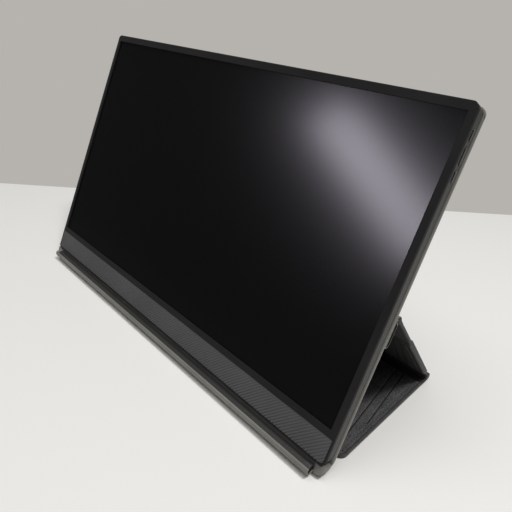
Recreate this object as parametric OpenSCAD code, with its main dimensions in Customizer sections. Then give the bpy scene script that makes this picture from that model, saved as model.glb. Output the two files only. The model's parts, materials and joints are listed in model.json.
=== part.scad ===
// Portable monitor standing on its folding leather cover.
// Millimetres and degrees. X runs to the right, Y to the back and Z up. The cover rests on Z = 0.

/* [Monitor body] */
// Width of the monitor
monitor_w = 399.4; // [370:0.2:430]
// Height of the monitor's face, chin included
monitor_h = 249.7; // [240:0.1:270]
// Radius of the monitor's outer corners
corner_r = 5; // [3:0.5:7]
// Thickness of the front frame
frame_t = 3.3; // [3.2:0.1:3.8]
// Chamfer round the front frame's outer edge
frame_chamfer = 0.6; // [0.3:0.1:0.8]
// Depth of the rim behind the front frame
rim_t = 3.9; // [3.6:0.1:4.6]
// Gap of the parting line between rim and rear shell
parting = 0.2; // [0.1:0.05:0.3]
// Depth of the rear shell
shell_t = 3.6; // [3.4:0.1:4.4]
// Thickness of the side walls of rim and shell
wall_t = 2.4; // [2:0.1:2.8]
// Thickness of the shell's back wall
back_wall_t = 1.4; // [1.2:0.1:1.6]
// Angle by which the monitor leans back
tilt = 22.3; // [18:0.1:27]

/* [Screen] */
// Width of the frame beside the screen
side_margin = 5; // [4.6:0.1:7]
// Height of the frame above the screen
top_margin = 6.2; // [5:0.1:9]
// Height of the plain strip below the screen
strip_h = 5.3; // [4:0.1:8]
// Depth of the screen's face behind the front of the frame
recess = 1.2; // [1:0.1:1.4]
// How far the frame's lip covers the edge of the screen
lip_w = 2.2; // [1.8:0.1:2.4]
// Thickness of the matt film on the screen
film_t = 0.3; // [0.2:0.05:0.35]
// Thickness of the liquid crystal cell
cell_t = 1.1; // [0.9:0.1:1.2]
// Thickness of the diffuser and prism sheets
diffuser_t = 0.5; // [0.4:0.1:0.6]
// Thickness of the light guide
guide_t = 1.2; // [1:0.1:1.4]
// Sheet thickness of the panel tray
tray_t = 0.5; // [0.4:0.1:0.6]
// Number of light emitting diodes in the bar
led_count = 36; // [24:1:48]

/* [Ribbed chin] */
// Height of the chin panel
chin_panel_h = 18.9; // [15:0.1:21]
// Frame left below and beside the chin panel
chin_border = 1.4; // [1:0.1:2]
// Thickness of the chin panel
chin_panel_t = 0.9; // [0.8:0.05:1]
// Distance from one rib to the next, square to the ribs
rib_pitch = 2.06; // [1.8:0.02:3]
// Height of the ribs
rib_h = 0.3; // [0.2:0.05:0.4]

/* [Controls and ports] */
// Distance from the top of the monitor to the middle of the power button
power_drop = 18; // [15:0.5:20]
// Distance from the top to the middle of the brightness rocker
rocker_drop = 31; // [30:0.5:33]
// Distance from the top to the middle of the menu button
menu_drop = 44; // [43:0.5:50]
// Length of each push button
button_l = 8; // [6:0.5:9]
// Length of the brightness rocker
rocker_l = 12; // [10:0.5:13]
// Height of buttons and rocker
button_h = 2.6; // [2.2:0.1:2.8]
// How far a button stands proud of the side
button_proud = 0.5; // [0.3:0.1:0.8]
// Travel of a push button
button_travel = 0.4; // [0.3:0.05:0.5]
// Radius of the hole for a headphone plug
jack_bore_r = 1.78; // [1.75:0.01:1.85]
// Depth of the hole for a headphone plug
jack_depth = 12; // [10:0.5:14]
// Distance from the bottom of the monitor to the middle of the lowest port
port_rise = 51.5; // [40:0.5:70]
// Distance from one port to the next
port_pitch = 19; // [17:0.5:24]

/* [Cover] */
// How far the cover reaches past the monitor on each side
cover_lap = 1; // [0.8:0.1:2]
// Thickness of the leather
leather_t = 0.9; // [0.7:0.1:1.1]
// Thickness of the microfibre lining
lining_t = 0.6; // [0.4:0.1:0.8]
// Thickness of the board in the back panel
back_board_t = 2; // [1.6:0.1:3]
// Thickness of the boards in the strut
strut_board_t = 3.4; // [2.6:0.1:3.6]
// Thickness of the boards in the base
base_board_t = 2.7; // [2:0.1:2.8]
// Corner radius at the lower end of the back panel
heel_r = 9.5; // [6:0.5:12]
// How far the cover reaches below the monitor
heel_h = 8; // [7.4:0.1:10]
// Radius of the rounded edge on which the back panel stands
edge_r = 1.2; // [0.8:0.1:1.6]
// Height of the magnetic tab
tab_h = 21.6; // [20:0.2:26]
// Thickness of the magnetic tab
tab_t = 5; // [4.6:0.1:5.6]
// Height of the upper fold above the bottom of the monitor
upper_fold_h = 109.4; // [106:0.1:118]

/* [Stand] */
// Length of the strut from fold to fold
strut_l = 137.5; // [134:0.1:146]
// Length of the soft part of the strut below the upper fold
soft_l = 44; // [36:0.5:52]
// Thickness of the soft part of the strut
soft_t = 2.8; // [2.4:0.1:3]
// Gap between the heel of the back panel and the front edge of the base, along the table
base_gap = 13.1; // [11:0.1:24]
// Corner radius of the base
base_r = 7; // [4:0.5:9]
// Radius of the upper fold
upper_roll_r = 2.5; // [2.2:0.1:2.6]
// Radius of the rear fold
rear_roll_r = 3.4; // [3.2:0.1:3.6]
// Width of the soft band beside the rear fold
hinge_band = 14; // [13:0.5:18]
// Width of the slanted soft channel between two boards
channel_w = 7.5; // [5:0.1:9]

/* [Lip] */
// Radius of the roll under the front edge
lip_r = 3.9; // [3.2:0.1:4]
// Thickness of the leather round the roll
lip_leather_t = 1; // [0.8:0.1:1.3]
// How far each end of the roll stays inside the cover
lip_inset = 7.5; // [5:0.5:12]

/* [Clearances] */
// Gap between faces that turn past each other
turn_gap = 0.3; // [0.25:0.05:0.4]
// Gap round a piece that drops into a recess
seat_gap = 0.1; // [0.05:0.05:0.15]
// Gap round a button in its hole
button_gap = 0.15; // [0.1:0.05:0.2]
// Gap round the rocker's pin
pin_gap = 0.05; // [0.03:0.01:0.08]

/* [Hidden] */

$fn = 48;
eps = 0.01;

// Depths behind the front of the monitor
monitor_t = frame_t + rim_t + parting + shell_t;
rim_back = frame_t + rim_t;
shell_front = rim_back + parting;
film_d = recess;
cell_d = film_d + film_t;
diffuser_d = cell_d + cell_t;
guide_d = diffuser_d + diffuser_t;
tray_d = guide_d + guide_t;
tray_back = tray_d + tray_t;
inside_back = monitor_t - back_wall_t;
port_d = rim_back + parting / 2;
back_panel_t = leather_t + back_board_t + lining_t;
cover_back = monitor_t + back_panel_t;
tab_back = cover_back + tab_t;

// Widths and heights across the face
window_w = monitor_w - 2 * side_margin;
chin_top = chin_border + chin_panel_h;
window_bottom = chin_top + strip_h;
window_top = monitor_h - top_margin;
window_h = window_top - window_bottom;
window_mid = (window_top + window_bottom) / 2;
stack_w = window_w + 2 * lip_w - 2 * seat_gap;
stack_h = window_h + 2 * lip_w - 2 * seat_gap;
stack_bottom = window_mid - stack_h / 2;
side_x = monitor_w / 2;
cover_w = monitor_w + 2 * cover_lap;
cover_x = cover_w / 2;
inner_w = monitor_w - 2 * wall_t;
led_h = 3;
guide_bottom = stack_bottom + tray_t + led_h;

// The chin's lower edge at the front, placed so that the heel of the back panel touches Z = 0
heel_d = cover_back - edge_r;
chin_z = edge_r + heel_d * sin(tilt) + (heel_h - edge_r) * cos(tilt);

// Folds of the stand in the YZ plane, counted from the chin's lower front edge
upper_fold_d = tab_back + 0.1;
upper_y = upper_fold_h * sin(tilt) + upper_fold_d * cos(tilt);
upper_z = chin_z + upper_fold_h * cos(tilt) - upper_fold_d * sin(tilt);
strut_angle = asin((upper_z - rear_roll_r) / strut_l);
rear_y = upper_y + strut_l * cos(strut_angle);
lip_d = -0.8;
lip_h = -heel_h + 2.1;
lip_front_y = lip_h * sin(tilt) + lip_d * cos(tilt) - lip_r;
mid_y = (lip_front_y + rear_y + rear_roll_r) / 2;
heel_y = heel_d * cos(tilt) - (heel_h - edge_r) * sin(tilt);
base_l = rear_y - heel_y - base_gap;

// Thicknesses of the stand's panels
strut_t = strut_board_t + leather_t + lining_t;
strut_out = strut_t / 2;
strut_in = -strut_t / 2;
board_start = soft_l + 3;
board_end = strut_l - hinge_band;
base_t = leather_t + base_board_t + lining_t;
band_t = 2 * leather_t;
panel_rim = 1.4;

// Insets of the slanted channels from the side of the cover, at the rear fold and at the far end
base_inset_rear = 26;
base_inset_front = 7.8;
strut_inset_rear = 25.6;
strut_inset_top = 16;
channel_stop = 6.2;
groove_w = 0.8;
groove_depth = 0.3;

// Inside the body
flange = 7;
flange_t = 0.8;
flange_x = stack_w / 2 - flange;
flange_low = stack_bottom + flange;
flex_t = 0.25;
boss_r = 2.4;
screw_r = 0.9;
screw_head_r = 1.7;
screw_head_t = 0.75;
screw_inset = 8;
screw_low = 14;
screw_high = 9;
board_d = tray_back + 1.4;
board_t = 1;
board_inset = 8.7;
board_x = -side_x + board_inset;
board_post = 5;
board_w = 96;
board_h = 112;
board_drop = 18;
board_bottom = port_rise - board_drop;
cell_size = [62, 92, 3.4];
cell_gap = 2;
battery_x = -26;
switch_room = 3.4;
switch_x = side_x - wall_t - switch_room;
switch_t = 1.6;
foot_gap = 0.1;
port_inset = 0.3;

module on_monitor() {
    translate([0, -mid_y, chin_z]) rotate([-tilt, 0, 0]) children();
}

module on_strut() {
    translate([0, upper_y - mid_y, upper_z]) rotate([-strut_angle, 0, 0]) children();
}

module on_base() {
    translate([0, rear_y - mid_y, 0]) children();
}

// A plate whose outline stands in the face of the monitor, from one depth to another
module upright(d0, d1) {
    translate([0, d1, 0]) rotate([90, 0, 0]) linear_extrude(d1 - d0) children();
}

// A bar along X whose section is drawn as depth and height
module along_x(length) {
    rotate([90, 0, 90]) linear_extrude(length, center = true) children();
}

// A rectangle centred on X from height h0 to h1, with its own radius at the bottom and the top
module face(w, h0, h1, r_low, r_top) {
    translate([-w / 2, h0 + r_low]) square([w, h1 - h0 - r_low - r_top]);
    translate([-w / 2 + r_low, h0]) square([w - 2 * r_low, r_low + eps]);
    translate([-w / 2 + r_top, h1 - r_top - eps]) square([w - 2 * r_top, r_top + eps]);
    for (side = [-1, 1]) {
        translate([side * (w / 2 - r_low), h0 + r_low]) circle(r_low);
        translate([side * (w / 2 - r_top), h1 - r_top]) circle(r_top);
    }
}

module monitor_outline(inset = 0) {
    face(monitor_w - 2 * inset, inset, monitor_h - inset, corner_r - min(inset, corner_r - 1),
        corner_r - min(inset, corner_r - 1));
}

// A slot with round ends, its length along Y
module slot2d(length, height) {
    square([height, length - height], center = true);
    for (end = [-1, 1]) translate([0, end * (length - height) / 2]) circle(height / 2, $fn = 24);
}

// A hole or a cap in the right side, its slot drawn in depth and height
module side_slot(length, height, x0, x1, h) {
    translate([x0, port_d, h]) rotate([90, 0, 90]) linear_extrude(x1 - x0) slot2d(length, height);
}

function power_h() = monitor_h - power_drop;
function rocker_h() = monitor_h - rocker_drop;
function menu_h() = monitor_h - menu_drop;
function port_h(i) = port_rise + i * port_pitch;

usb_size = [9, 3.3];
hdmi_size = [7.2, 3.2];
port_room = 9;
jack_r = jack_bore_r + 0.45;
jack_end = 1.6;

module side_cuts() {
    side_slot(button_l + 2 * button_gap, button_h + 2 * button_gap, side_x - wall_t - 1, side_x + 1, power_h());
    side_slot(rocker_l + 2 * button_gap, button_h + 2 * button_gap, side_x - wall_t - 1, side_x + 1, rocker_h());
    side_slot(button_l + 2 * button_gap, button_h + 2 * button_gap, side_x - wall_t - 1, side_x + 1, menu_h());
    for (i = [0, 1]) side_slot(usb_size.x + 2 * seat_gap, usb_size.y + 2 * seat_gap, -side_x - 1,
        -side_x + port_room, port_h(i));
    side_slot(hdmi_size.x + 2 * seat_gap, hdmi_size.y + 2 * seat_gap, -side_x - 1, -side_x + port_room,
        port_h(2));
    translate([-side_x - 1, port_d, port_h(3)]) rotate([0, 90, 0])
        cylinder(jack_depth + jack_end + 2, r = jack_r + seat_gap);
}

screw_spots = [for (side = [-1, 1]) for (h = [screw_low, monitor_h / 2, monitor_h - screw_high])
    [side * (side_x - screw_inset), h]];

module front_bezel() {
    slope = frame_chamfer;
    color([0.13, 0.13, 0.14]) on_monitor() difference() {
        intersection() {
            upright(0, frame_t) monitor_outline();
            along_x(monitor_w) polygon([[0, slope], [slope, 0], [frame_t, 0], [frame_t, monitor_h],
                [slope, monitor_h], [0, monitor_h - slope]]);
            linear_extrude(monitor_h) polygon([[-side_x, slope], [-side_x + slope, 0], [side_x - slope, 0],
                [side_x, slope], [side_x, frame_t], [-side_x, frame_t]]);
        }
        upright(-1, frame_t + 1) face(window_w, window_bottom, window_top, 0.6, 0.6);
        upright(recess, frame_t + 1) face(window_w + 2 * lip_w, window_bottom - lip_w, window_top + lip_w, 1, 1);
        upright(-1, chin_panel_t) face(monitor_w - 2 * chin_border + 2 * seat_gap, chin_border - seat_gap,
            chin_top + seat_gap, 3 + seat_gap, 0.5);
    }
}

// Sloping ribs at 45 degrees, cut across the chin as one toothed sheet
module rib_teeth() {
    reach = (monitor_w + chin_panel_h) / sqrt(2) + rib_pitch;
    count = ceil(reach / rib_pitch);
    land = rib_pitch * 0.3;
    slope = rib_pitch * 0.2;
    polygon(concat([[0, chin_panel_t], [0, rib_h]],
        [for (i = [0:count - 1]) for (p = [[0, rib_h], [slope, 0], [slope + land, 0], [2 * slope + land, rib_h]])
            [i * rib_pitch + p.x + eps, p.y]],
        [[count * rib_pitch + 2 * eps, rib_h], [count * rib_pitch + 2 * eps, chin_panel_t]]));
}

module chin_panel() {
    chin_w = monitor_w - 2 * chin_border;
    length = chin_panel_h * sqrt(2) + 2 * monitor_w;
    color([0.24, 0.24, 0.25]) on_monitor() intersection() {
        upright(0, chin_panel_t) face(chin_w, chin_border, chin_top, 3, 0.4);
        translate([-chin_w / 2 - chin_panel_h / 2, 0, chin_border + chin_panel_h / 2]) rotate([0, 45, 0])
            translate([0, 0, -length / 2]) linear_extrude(length) rib_teeth();
    }
}

module screen_film() {
    color([0.04, 0.04, 0.045]) on_monitor() upright(film_d, cell_d)
        face(stack_w, window_mid - stack_h / 2, window_mid + stack_h / 2, 0.6, 0.6);
}

module lcd_cell() {
    color([0.1, 0.12, 0.14]) on_monitor() upright(cell_d, diffuser_d)
        face(stack_w - 2 * tray_t - 2 * seat_gap, stack_bottom + tray_t + seat_gap,
            stack_bottom + stack_h - tray_t - seat_gap, 0.5, 0.5);
}

module diffuser_stack() {
    color([0.9, 0.9, 0.88]) on_monitor() upright(diffuser_d, guide_d)
        face(stack_w - 2 * tray_t - 4 * seat_gap, guide_bottom + seat_gap,
            stack_bottom + stack_h - tray_t - 2 * seat_gap, 0.5, 0.5);
}

module light_guide() {
    color([0.85, 0.92, 0.95]) on_monitor() upright(guide_d, tray_d)
        face(stack_w - 2 * tray_t - 2 * seat_gap, guide_bottom + seat_gap,
            stack_bottom + stack_h - tray_t - seat_gap, 0.5, 0.5);
}

module led_bar() {
    bar_w = stack_w - 2 * tray_t - 2;
    step = bar_w / led_count;
    on_monitor() {
        color([0.85, 0.85, 0.8]) translate([-bar_w / 2, tray_d - 0.3, stack_bottom + tray_t + seat_gap])
            cube([bar_w, 0.3, led_h - 2 * seat_gap]);
        color([0.95, 0.9, 0.6]) for (i = [0:led_count - 1])
            translate([-bar_w / 2 + (i + 0.25) * step, guide_d, stack_bottom + tray_t + led_h / 2 - 0.4])
                cube([step / 2, tray_d - 0.3 - guide_d, led_h / 2]);
    }
}

module panel_tray() {
    color([0.6, 0.61, 0.63]) on_monitor() {
        difference() {
            upright(cell_d, tray_back) face(stack_w, stack_bottom, stack_bottom + stack_h, 1, 1);
            upright(cell_d - 1, tray_d) face(stack_w - 2 * tray_t, stack_bottom + tray_t,
                stack_bottom + stack_h - tray_t, 0.6, 0.6);
        }
        for (spot = board_spots()) translate([spot.x, tray_back - eps, spot.y]) rotate([-90, 0, 0])
            difference() {
                cylinder(board_d - tray_back + eps, r = boss_r);
                translate([0, 0, tray_t]) cylinder(board_d, r = screw_r, $fn = 24);
            }
    }
}

function board_spots() = [for (x = [board_x + board_post, board_x + board_w - board_post])
    for (h = [board_bottom + board_post, board_bottom + board_h - board_post]) [x, h]];

module mid_frame() {
    color([0.3, 0.3, 0.31]) on_monitor() difference() {
        upright(frame_t, rim_back) monitor_outline();
        upright(frame_t - 1, tray_back) face(stack_w + 2 * seat_gap, stack_bottom - seat_gap,
            stack_bottom + stack_h + seat_gap, 1, 1);
        upright(tray_back - eps, rim_back + 1) face(stack_w - 2 * flange, stack_bottom + flange,
            stack_bottom + stack_h - flange, 3, 3);
        upright(tray_back + flange_t, rim_back + 1) face(inner_w, wall_t, monitor_h - wall_t, 3, 3);
        side_cuts();
        for (spot = screw_spots) translate([spot.x, tray_back - 1, spot.y]) rotate([-90, 0, 0])
            cylinder(rim_t, r = screw_r, $fn = 24);
        speaker_slots();
    }
}

slot_count = 12;
slot_pitch = 3;
speaker_inset = 62;
speaker_x = side_x - speaker_inset;
speaker_box = [44, 3.6, 17];

module speaker_slots() {
    for (side = [-1, 1]) for (i = [0:slot_count - 1])
        translate([side * speaker_x + (i - (slot_count - 1) / 2) * slot_pitch, rim_back - 1.5, wall_t / 2])
            cube([1.2, 2.2, wall_t + 2], center = true);
}

module rear_housing() {
    tongue = 1;
    color([0.32, 0.32, 0.33]) on_monitor() difference() {
        union() {
            difference() {
                intersection() {
                    upright(shell_front, monitor_t) monitor_outline();
                    along_x(monitor_w) polygon([[shell_front, 0], [monitor_t - 0.8, 0], [monitor_t, 0.8],
                        [monitor_t, monitor_h - 0.8], [monitor_t - 0.8, monitor_h], [shell_front, monitor_h]]);
                }
                upright(shell_front - 1, inside_back) face(inner_w, wall_t, monitor_h - wall_t, 3, 3);
            }
            difference() {
                union() {
                    upright(shell_front - tongue, shell_front + 1)
                        face(inner_w - 2 * seat_gap, wall_t + seat_gap, monitor_h - wall_t - seat_gap, 3, 3);
                    upright(shell_front + tongue / 2, inside_back + eps) face(inner_w + seat_gap,
                        wall_t - seat_gap / 2, monitor_h - wall_t + seat_gap / 2, 3, 3);
                }
                upright(shell_front - tongue - 1, inside_back) face(inner_w - 2 * tongue, wall_t + tongue,
                    monitor_h - wall_t - tongue, 2.4, 2.4);
            }
            for (spot = screw_spots) translate([spot.x, tray_back + 1.2, spot.y]) rotate([-90, 0, 0])
                cylinder(inside_back - tray_back - 1.1, r = boss_r);
        }
        upright(shell_front - tongue - 1, inside_back) tongue_gaps();
        side_cuts();
        for (spot = screw_spots) translate([spot.x, 0, spot.y]) rotate([-90, 0, 0]) {
            cylinder(monitor_t + 1, r = screw_r + 0.1, $fn = 24);
            translate([0, 0, monitor_t - screw_head_t - 0.1]) cylinder(2, r = screw_head_r + 0.2, $fn = 24);
        }
    }
}

// Room in the shell's tongue for the buttons, the ports and the speaker slots
tongue_cut = 3;
key_reach = 8;
port_reach = 9;
slots_reach = 21;

module tongue_gaps() {
    translate([side_x - wall_t - tongue_cut, menu_h() - key_reach])
        square([tongue_cut, power_h() - menu_h() + 2 * key_reach]);
    translate([-side_x + wall_t, port_h(0) - port_reach])
        square([tongue_cut, port_h(3) - port_h(0) + 2 * port_reach]);
    for (side = [-1, 1]) translate([side * speaker_x - slots_reach, wall_t]) square([2 * slots_reach, tongue_cut]);
}

module housing_screws() {
    color([0.2, 0.2, 0.2]) on_monitor() for (spot = screw_spots)
        translate([spot.x, 0, spot.y]) rotate([-90, 0, 0]) {
            translate([0, 0, tray_back + 0.1])
                cylinder(monitor_t - screw_head_t - tray_back, r = screw_r - 0.05, $fn = 24);
            translate([0, 0, monitor_t - screw_head_t - 0.05]) cylinder(screw_head_t, r = screw_head_r, $fn = 24);
        }
}

module main_board() {
    color([0.05, 0.25, 0.15]) on_monitor() difference() {
        translate([board_x, board_d, board_bottom]) cube([board_w, board_t, board_h]);
        for (spot = board_spots()) translate([spot.x, board_d - 1, spot.y]) rotate([-90, 0, 0])
            cylinder(board_t + 2, r = screw_r + 0.2, $fn = 24);
        for (spot = screw_spots) translate([spot.x, board_d - 1, spot.y]) rotate([-90, 0, 0])
            cylinder(board_t + 2, r = boss_r + 0.4);
        translate([board_x - 1, board_d - 1, port_h(3) - jack_r - 0.2])
            cube([jack_depth + 3 - side_x - board_x, board_t + 2, 2 * jack_r + 0.4]);
    }
}

can_size = [26, 1.6, 22];
can_pitch = 30;
can_spot = [18, 14];
tall_can_size = [24, 1.2, 60];
tall_can_spot = [56, 20];

module shield_cans() {
    color([0.75, 0.75, 0.77]) on_monitor() translate([board_x, board_d + board_t, board_bottom]) {
        for (i = [0:2]) translate([can_spot.x, 0, can_spot.y + i * can_pitch]) cube(can_size);
        translate([tall_can_spot.x, 0, tall_can_spot.y]) cube(tall_can_size);
    }
}

module battery_cells() {
    pitch = cell_size.x + cell_gap;
    color([0.75, 0.75, 0.78]) on_monitor() for (i = [0:2])
        translate([battery_x + i * pitch, tray_back + 0.3, monitor_h / 2 - cell_size.y / 2])
            cube([cell_size.x, cell_size.z, cell_size.y]);
}

// A flat speaker box with its cone set into the lower side
module speaker(side) {
    cone = [32, 2];
    color([0.12, 0.12, 0.12]) on_monitor() translate([side * speaker_x, 0, 0]) difference() {
        translate([-speaker_box.x / 2, tray_back + 1.1, wall_t + 1.2]) cube(speaker_box);
        translate([0, tray_back + 1.1 + speaker_box.y / 2, wall_t + 0.2]) linear_extrude(2.2)
            square(cone, center = true);
    }
}

flex_head = [36, 12];
flex_lane = 18;
flex_lap = 26;

module display_flex() {
    lane = board_x + board_w / 2;
    color([0.75, 0.5, 0.15]) on_monitor() {
        translate([lane, tray_back, flange_low + seat_gap]) cube([flex_head.x, flex_t, flex_head.y]);
        translate([lane, tray_back, flange_low + seat_gap])
            cube([flex_lane, flex_t, board_bottom + flex_lap - flange_low]);
    }
}

switch_board_t = 0.8;
switch_board_h = 2.8;
switch_board_end = 6;

module button_board() {
    color([0.05, 0.25, 0.15]) on_monitor() {
        translate([switch_x - switch_board_t, port_d - switch_board_h / 2, menu_h() - switch_board_end])
            cube([switch_board_t, switch_board_h, power_h() - menu_h() + 2 * switch_board_end]);
        for (h = [power_h(), rocker_h() - 4, rocker_h() + 4, menu_h()])
            translate([switch_x, port_d - 1.2, h - 1.3]) cube([switch_t, 2.4, 2.6]);
    }
}

// A ribbon from the switches, over the frame's flange and along the tray to the main board
ribbon = 3;
ribbon_drop = 75;
ribbon_lap = 10;

module button_flex() {
    over = tray_back + flange_t + 0.05;
    run_h = menu_h() - ribbon_drop;
    step_x = flange_x - ribbon / 2;
    start_x = board_x + board_w - ribbon_lap;
    color([0.75, 0.5, 0.15]) on_monitor() {
        translate([switch_x - switch_board_t - ribbon, over, run_h])
            cube([ribbon, flex_t, menu_h() - 2 - run_h]);
        translate([step_x, over, run_h]) cube([switch_x - switch_board_t - step_x, flex_t, ribbon]);
        translate([step_x, tray_back, run_h]) cube([flex_t, over + flex_t - tray_back, ribbon]);
        translate([start_x, tray_back, run_h]) cube([step_x + flex_t - start_x, flex_t, ribbon]);
    }
}

// A socket in the left side: a shell open to the outside, with its tongue
module socket(size, tongue, length, h) {
    on_monitor() translate([-side_x + port_inset, port_d, h]) rotate([90, 0, 90]) {
        difference() {
            linear_extrude(length) slot2d(size.x, size.y);
            translate([0, 0, -1]) linear_extrude(length) slot2d(size.x - 0.7, size.y - 0.7);
        }
        translate([0, 0, 1.5]) linear_extrude(length - 1.6) square([tongue.y, tongue.x], center = true);
    }
}

module usb_c_port_lower() { color([0.7, 0.7, 0.72]) socket(usb_size, [6.6, 0.7], 8.2, port_h(0)); }

module usb_c_port_upper() { color([0.7, 0.7, 0.72]) socket(usb_size, [6.6, 0.7], 8.2, port_h(1)); }

module micro_hdmi_port() { color([0.7, 0.7, 0.72]) socket(hdmi_size, [4.2, 0.6], 8.2, port_h(2)); }

module audio_jack() {
    color([0.1, 0.1, 0.1]) on_monitor() translate([-side_x, port_d, port_h(3)]) rotate([0, 90, 0])
        difference() {
            cylinder(jack_depth + jack_end, r = jack_r);
            translate([0, 0, -1]) cylinder(jack_depth + jack_end, r = jack_bore_r);
        }
}

// A cap in its hole, with a collar behind the wall and a foot towards the switch
module push_button(h) {
    collar_x = side_x - wall_t - 0.1;
    collar_t = 0.7;
    side_slot(button_l, button_h, collar_x - eps, side_x + button_proud, h);
    side_slot(button_l + 1.6, button_h + 0.6, collar_x - collar_t, collar_x, h);
    side_slot(2.4, 1.4, switch_x + switch_t + button_travel + foot_gap, collar_x - collar_t + eps, h);
}

module power_button() { color([0.16, 0.16, 0.17]) on_monitor() push_button(power_h()); }

module menu_button() { color([0.16, 0.16, 0.17]) on_monitor() push_button(menu_h()); }

rocker_pin_r = 0.5;
rocker_axis_x = side_x - 1.2;

module brightness_rocker() {
    color([0.16, 0.16, 0.17]) on_monitor() difference() {
        union() {
            side_slot(rocker_l - 0.6, button_h, side_x - wall_t + 0.3, side_x + button_proud, rocker_h());
            for (end = [-1, 1]) side_slot(2, 1.4, switch_x + switch_t + 0.5, side_x - wall_t + 0.3 + eps,
                rocker_h() + end * 4);
        }
        translate([rocker_axis_x, port_d, rocker_h()]) rotate([-90, 0, 0])
            cylinder(button_h + 2, r = rocker_pin_r + pin_gap, center = true);
    }
}

module rocker_pin() {
    color([0.7, 0.7, 0.7]) on_monitor() translate([rocker_axis_x, port_d, rocker_h()]) rotate([-90, 0, 0])
        cylinder(button_h + 2 * button_gap - 0.02, r = rocker_pin_r, center = true);
}

// Section of the back panel: flat against the monitor, rounded where it meets the table and at the top
module back_section() {
    low = -heel_h;
    translate([monitor_t, low]) square([back_panel_t - edge_r, monitor_h + heel_h]);
    translate([monitor_t, low + edge_r]) square([back_panel_t, monitor_h + heel_h - 2 * edge_r]);
    for (h = [low + edge_r, monitor_h - edge_r]) translate([heel_d, h]) circle(edge_r);
}

module back_pocket(inset) {
    face(cover_w - 2 * inset, inset, monitor_h - inset, 3, 3);
}

module back_skin() {
    color([0.2, 0.2, 0.205]) on_monitor() difference() {
        intersection() {
            upright(monitor_t, cover_back) face(cover_w, -heel_h, monitor_h, heel_r, corner_r);
            along_x(cover_w + 2) back_section();
        }
        upright(monitor_t - 1, cover_back - leather_t) back_pocket(panel_rim);
    }
}

module back_board() {
    color([0.45, 0.42, 0.36]) on_monitor() difference() {
        upright(monitor_t + lining_t, cover_back - leather_t) back_pocket(panel_rim + seat_gap);
        for (spot = magnet_spots) translate([spot.x, monitor_t, spot.y]) rotate([-90, 0, 0])
            cylinder(magnet_depth() + 0.05, r = magnet_r + 0.05);
    }
}

magnet_r = 6;
magnet_pitch = 75;
magnet_rows = [40, 70, 132, 215];
magnet_spots = [for (i = [-2, -1, 1, 2]) for (h = magnet_rows) [i * magnet_pitch, h]];
function magnet_depth() = lining_t + 1.3;

module back_magnets() {
    color([0.72, 0.72, 0.74]) on_monitor() for (spot = magnet_spots)
        translate([spot.x, monitor_t + lining_t, spot.y]) rotate([-90, 0, 0])
            cylinder(magnet_depth() - lining_t, r = magnet_r);
}

module back_lining() {
    color([0.14, 0.14, 0.15]) on_monitor() upright(monitor_t, monitor_t + lining_t)
        back_pocket(panel_rim + seat_gap);
}

// Spine under the monitor, hollowed for the roll in front of it
spine_front = 3;

module spine_skin() {
    color([0.2, 0.2, 0.205]) on_monitor() difference() {
        upright(spine_front, monitor_t) difference() {
            face(cover_w, -heel_h, 10, heel_r, 1);
            translate([-cover_w, -lining_t]) square([2 * cover_w, cover_w]);
        }
        translate([0, (spine_front + monitor_t) / 2, -heel_h + leather_t]) linear_extrude(heel_h)
            square([cover_w - 2 * heel_r, monitor_t - spine_front - 2 * leather_t], center = true);
        translate([0, lip_d, lip_h]) rotate([0, 90, 0])
            cylinder(cover_w + 2, r = lip_r + seat_gap, center = true);
    }
}

module spine_bar() {
    depth = monitor_t - spine_front - 2 * leather_t - 2 * seat_gap;
    color([0.5, 0.5, 0.52]) on_monitor() translate([0, (spine_front + monitor_t) / 2, -heel_h + leather_t])
        linear_extrude(heel_h - leather_t - lining_t)
            square([cover_w - 2 * heel_r - 2 * seat_gap, depth], center = true);
}

module spine_lining() {
    color([0.14, 0.14, 0.15]) on_monitor()
        translate([-cover_x + 1, spine_front, -lining_t])
            cube([cover_w - 2, monitor_t - spine_front, lining_t]);
}

module lip_roll() {
    length = cover_w - 2 * lip_inset;
    color([0.17, 0.17, 0.175]) on_monitor() translate([0, lip_d, lip_h]) rotate([0, 90, 0]) difference() {
        cylinder(length, r = lip_r, center = true);
        cylinder(length + 2, r = lip_r - lip_leather_t, center = true);
    }
}

module lip_rod() {
    length = cover_w - 2 * lip_inset - 3;
    color([0.4, 0.4, 0.42]) on_monitor() translate([0, lip_d, lip_h]) rotate([0, 90, 0])
        cylinder(length, r = lip_r - lip_leather_t - 0.02, center = true);
}

// Section of the tab: rounded at its lower end, hollowed at the top round the upper fold
tab_low = upper_fold_h + 0.9 - tab_h;
tab_round = 3.4;

module tab_section() {
    difference() {
        intersection() {
            union() {
                translate([cover_back, tab_low]) square([tab_t - tab_round, tab_h]);
                translate([cover_back, tab_low + tab_round]) square([tab_t, tab_h - tab_round]);
                translate([tab_back - tab_round, tab_low + tab_round]) circle(tab_round);
            }
            translate([cover_back, tab_low]) square([tab_t, tab_h]);
        }
        translate([upper_fold_d, upper_fold_h]) circle(upper_roll_r + turn_gap);
    }
}

tab_pocket_h = 14;
tab_pocket_low = tab_low + 3;

module tab_skin() {
    color([0.2, 0.2, 0.205]) on_monitor() difference() {
        along_x(cover_w) tab_section();
        translate([-cover_x + 3, cover_back - 1, tab_pocket_low])
            cube([cover_w - 6, tab_t - leather_t + 1 - 0.2, tab_pocket_h]);
    }
}

tab_magnet_count = 8;

module tab_magnets() {
    pitch = (cover_w - 8) / tab_magnet_count;
    color([0.72, 0.72, 0.74]) on_monitor() for (i = [0:tab_magnet_count - 1])
        translate([-cover_x + 4 + (i + 0.1) * pitch, cover_back + 0.2, tab_pocket_low + seat_gap])
            cube([0.8 * pitch, tab_t - leather_t - 0.5, tab_pocket_h - 2 * seat_gap]);
}

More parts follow.
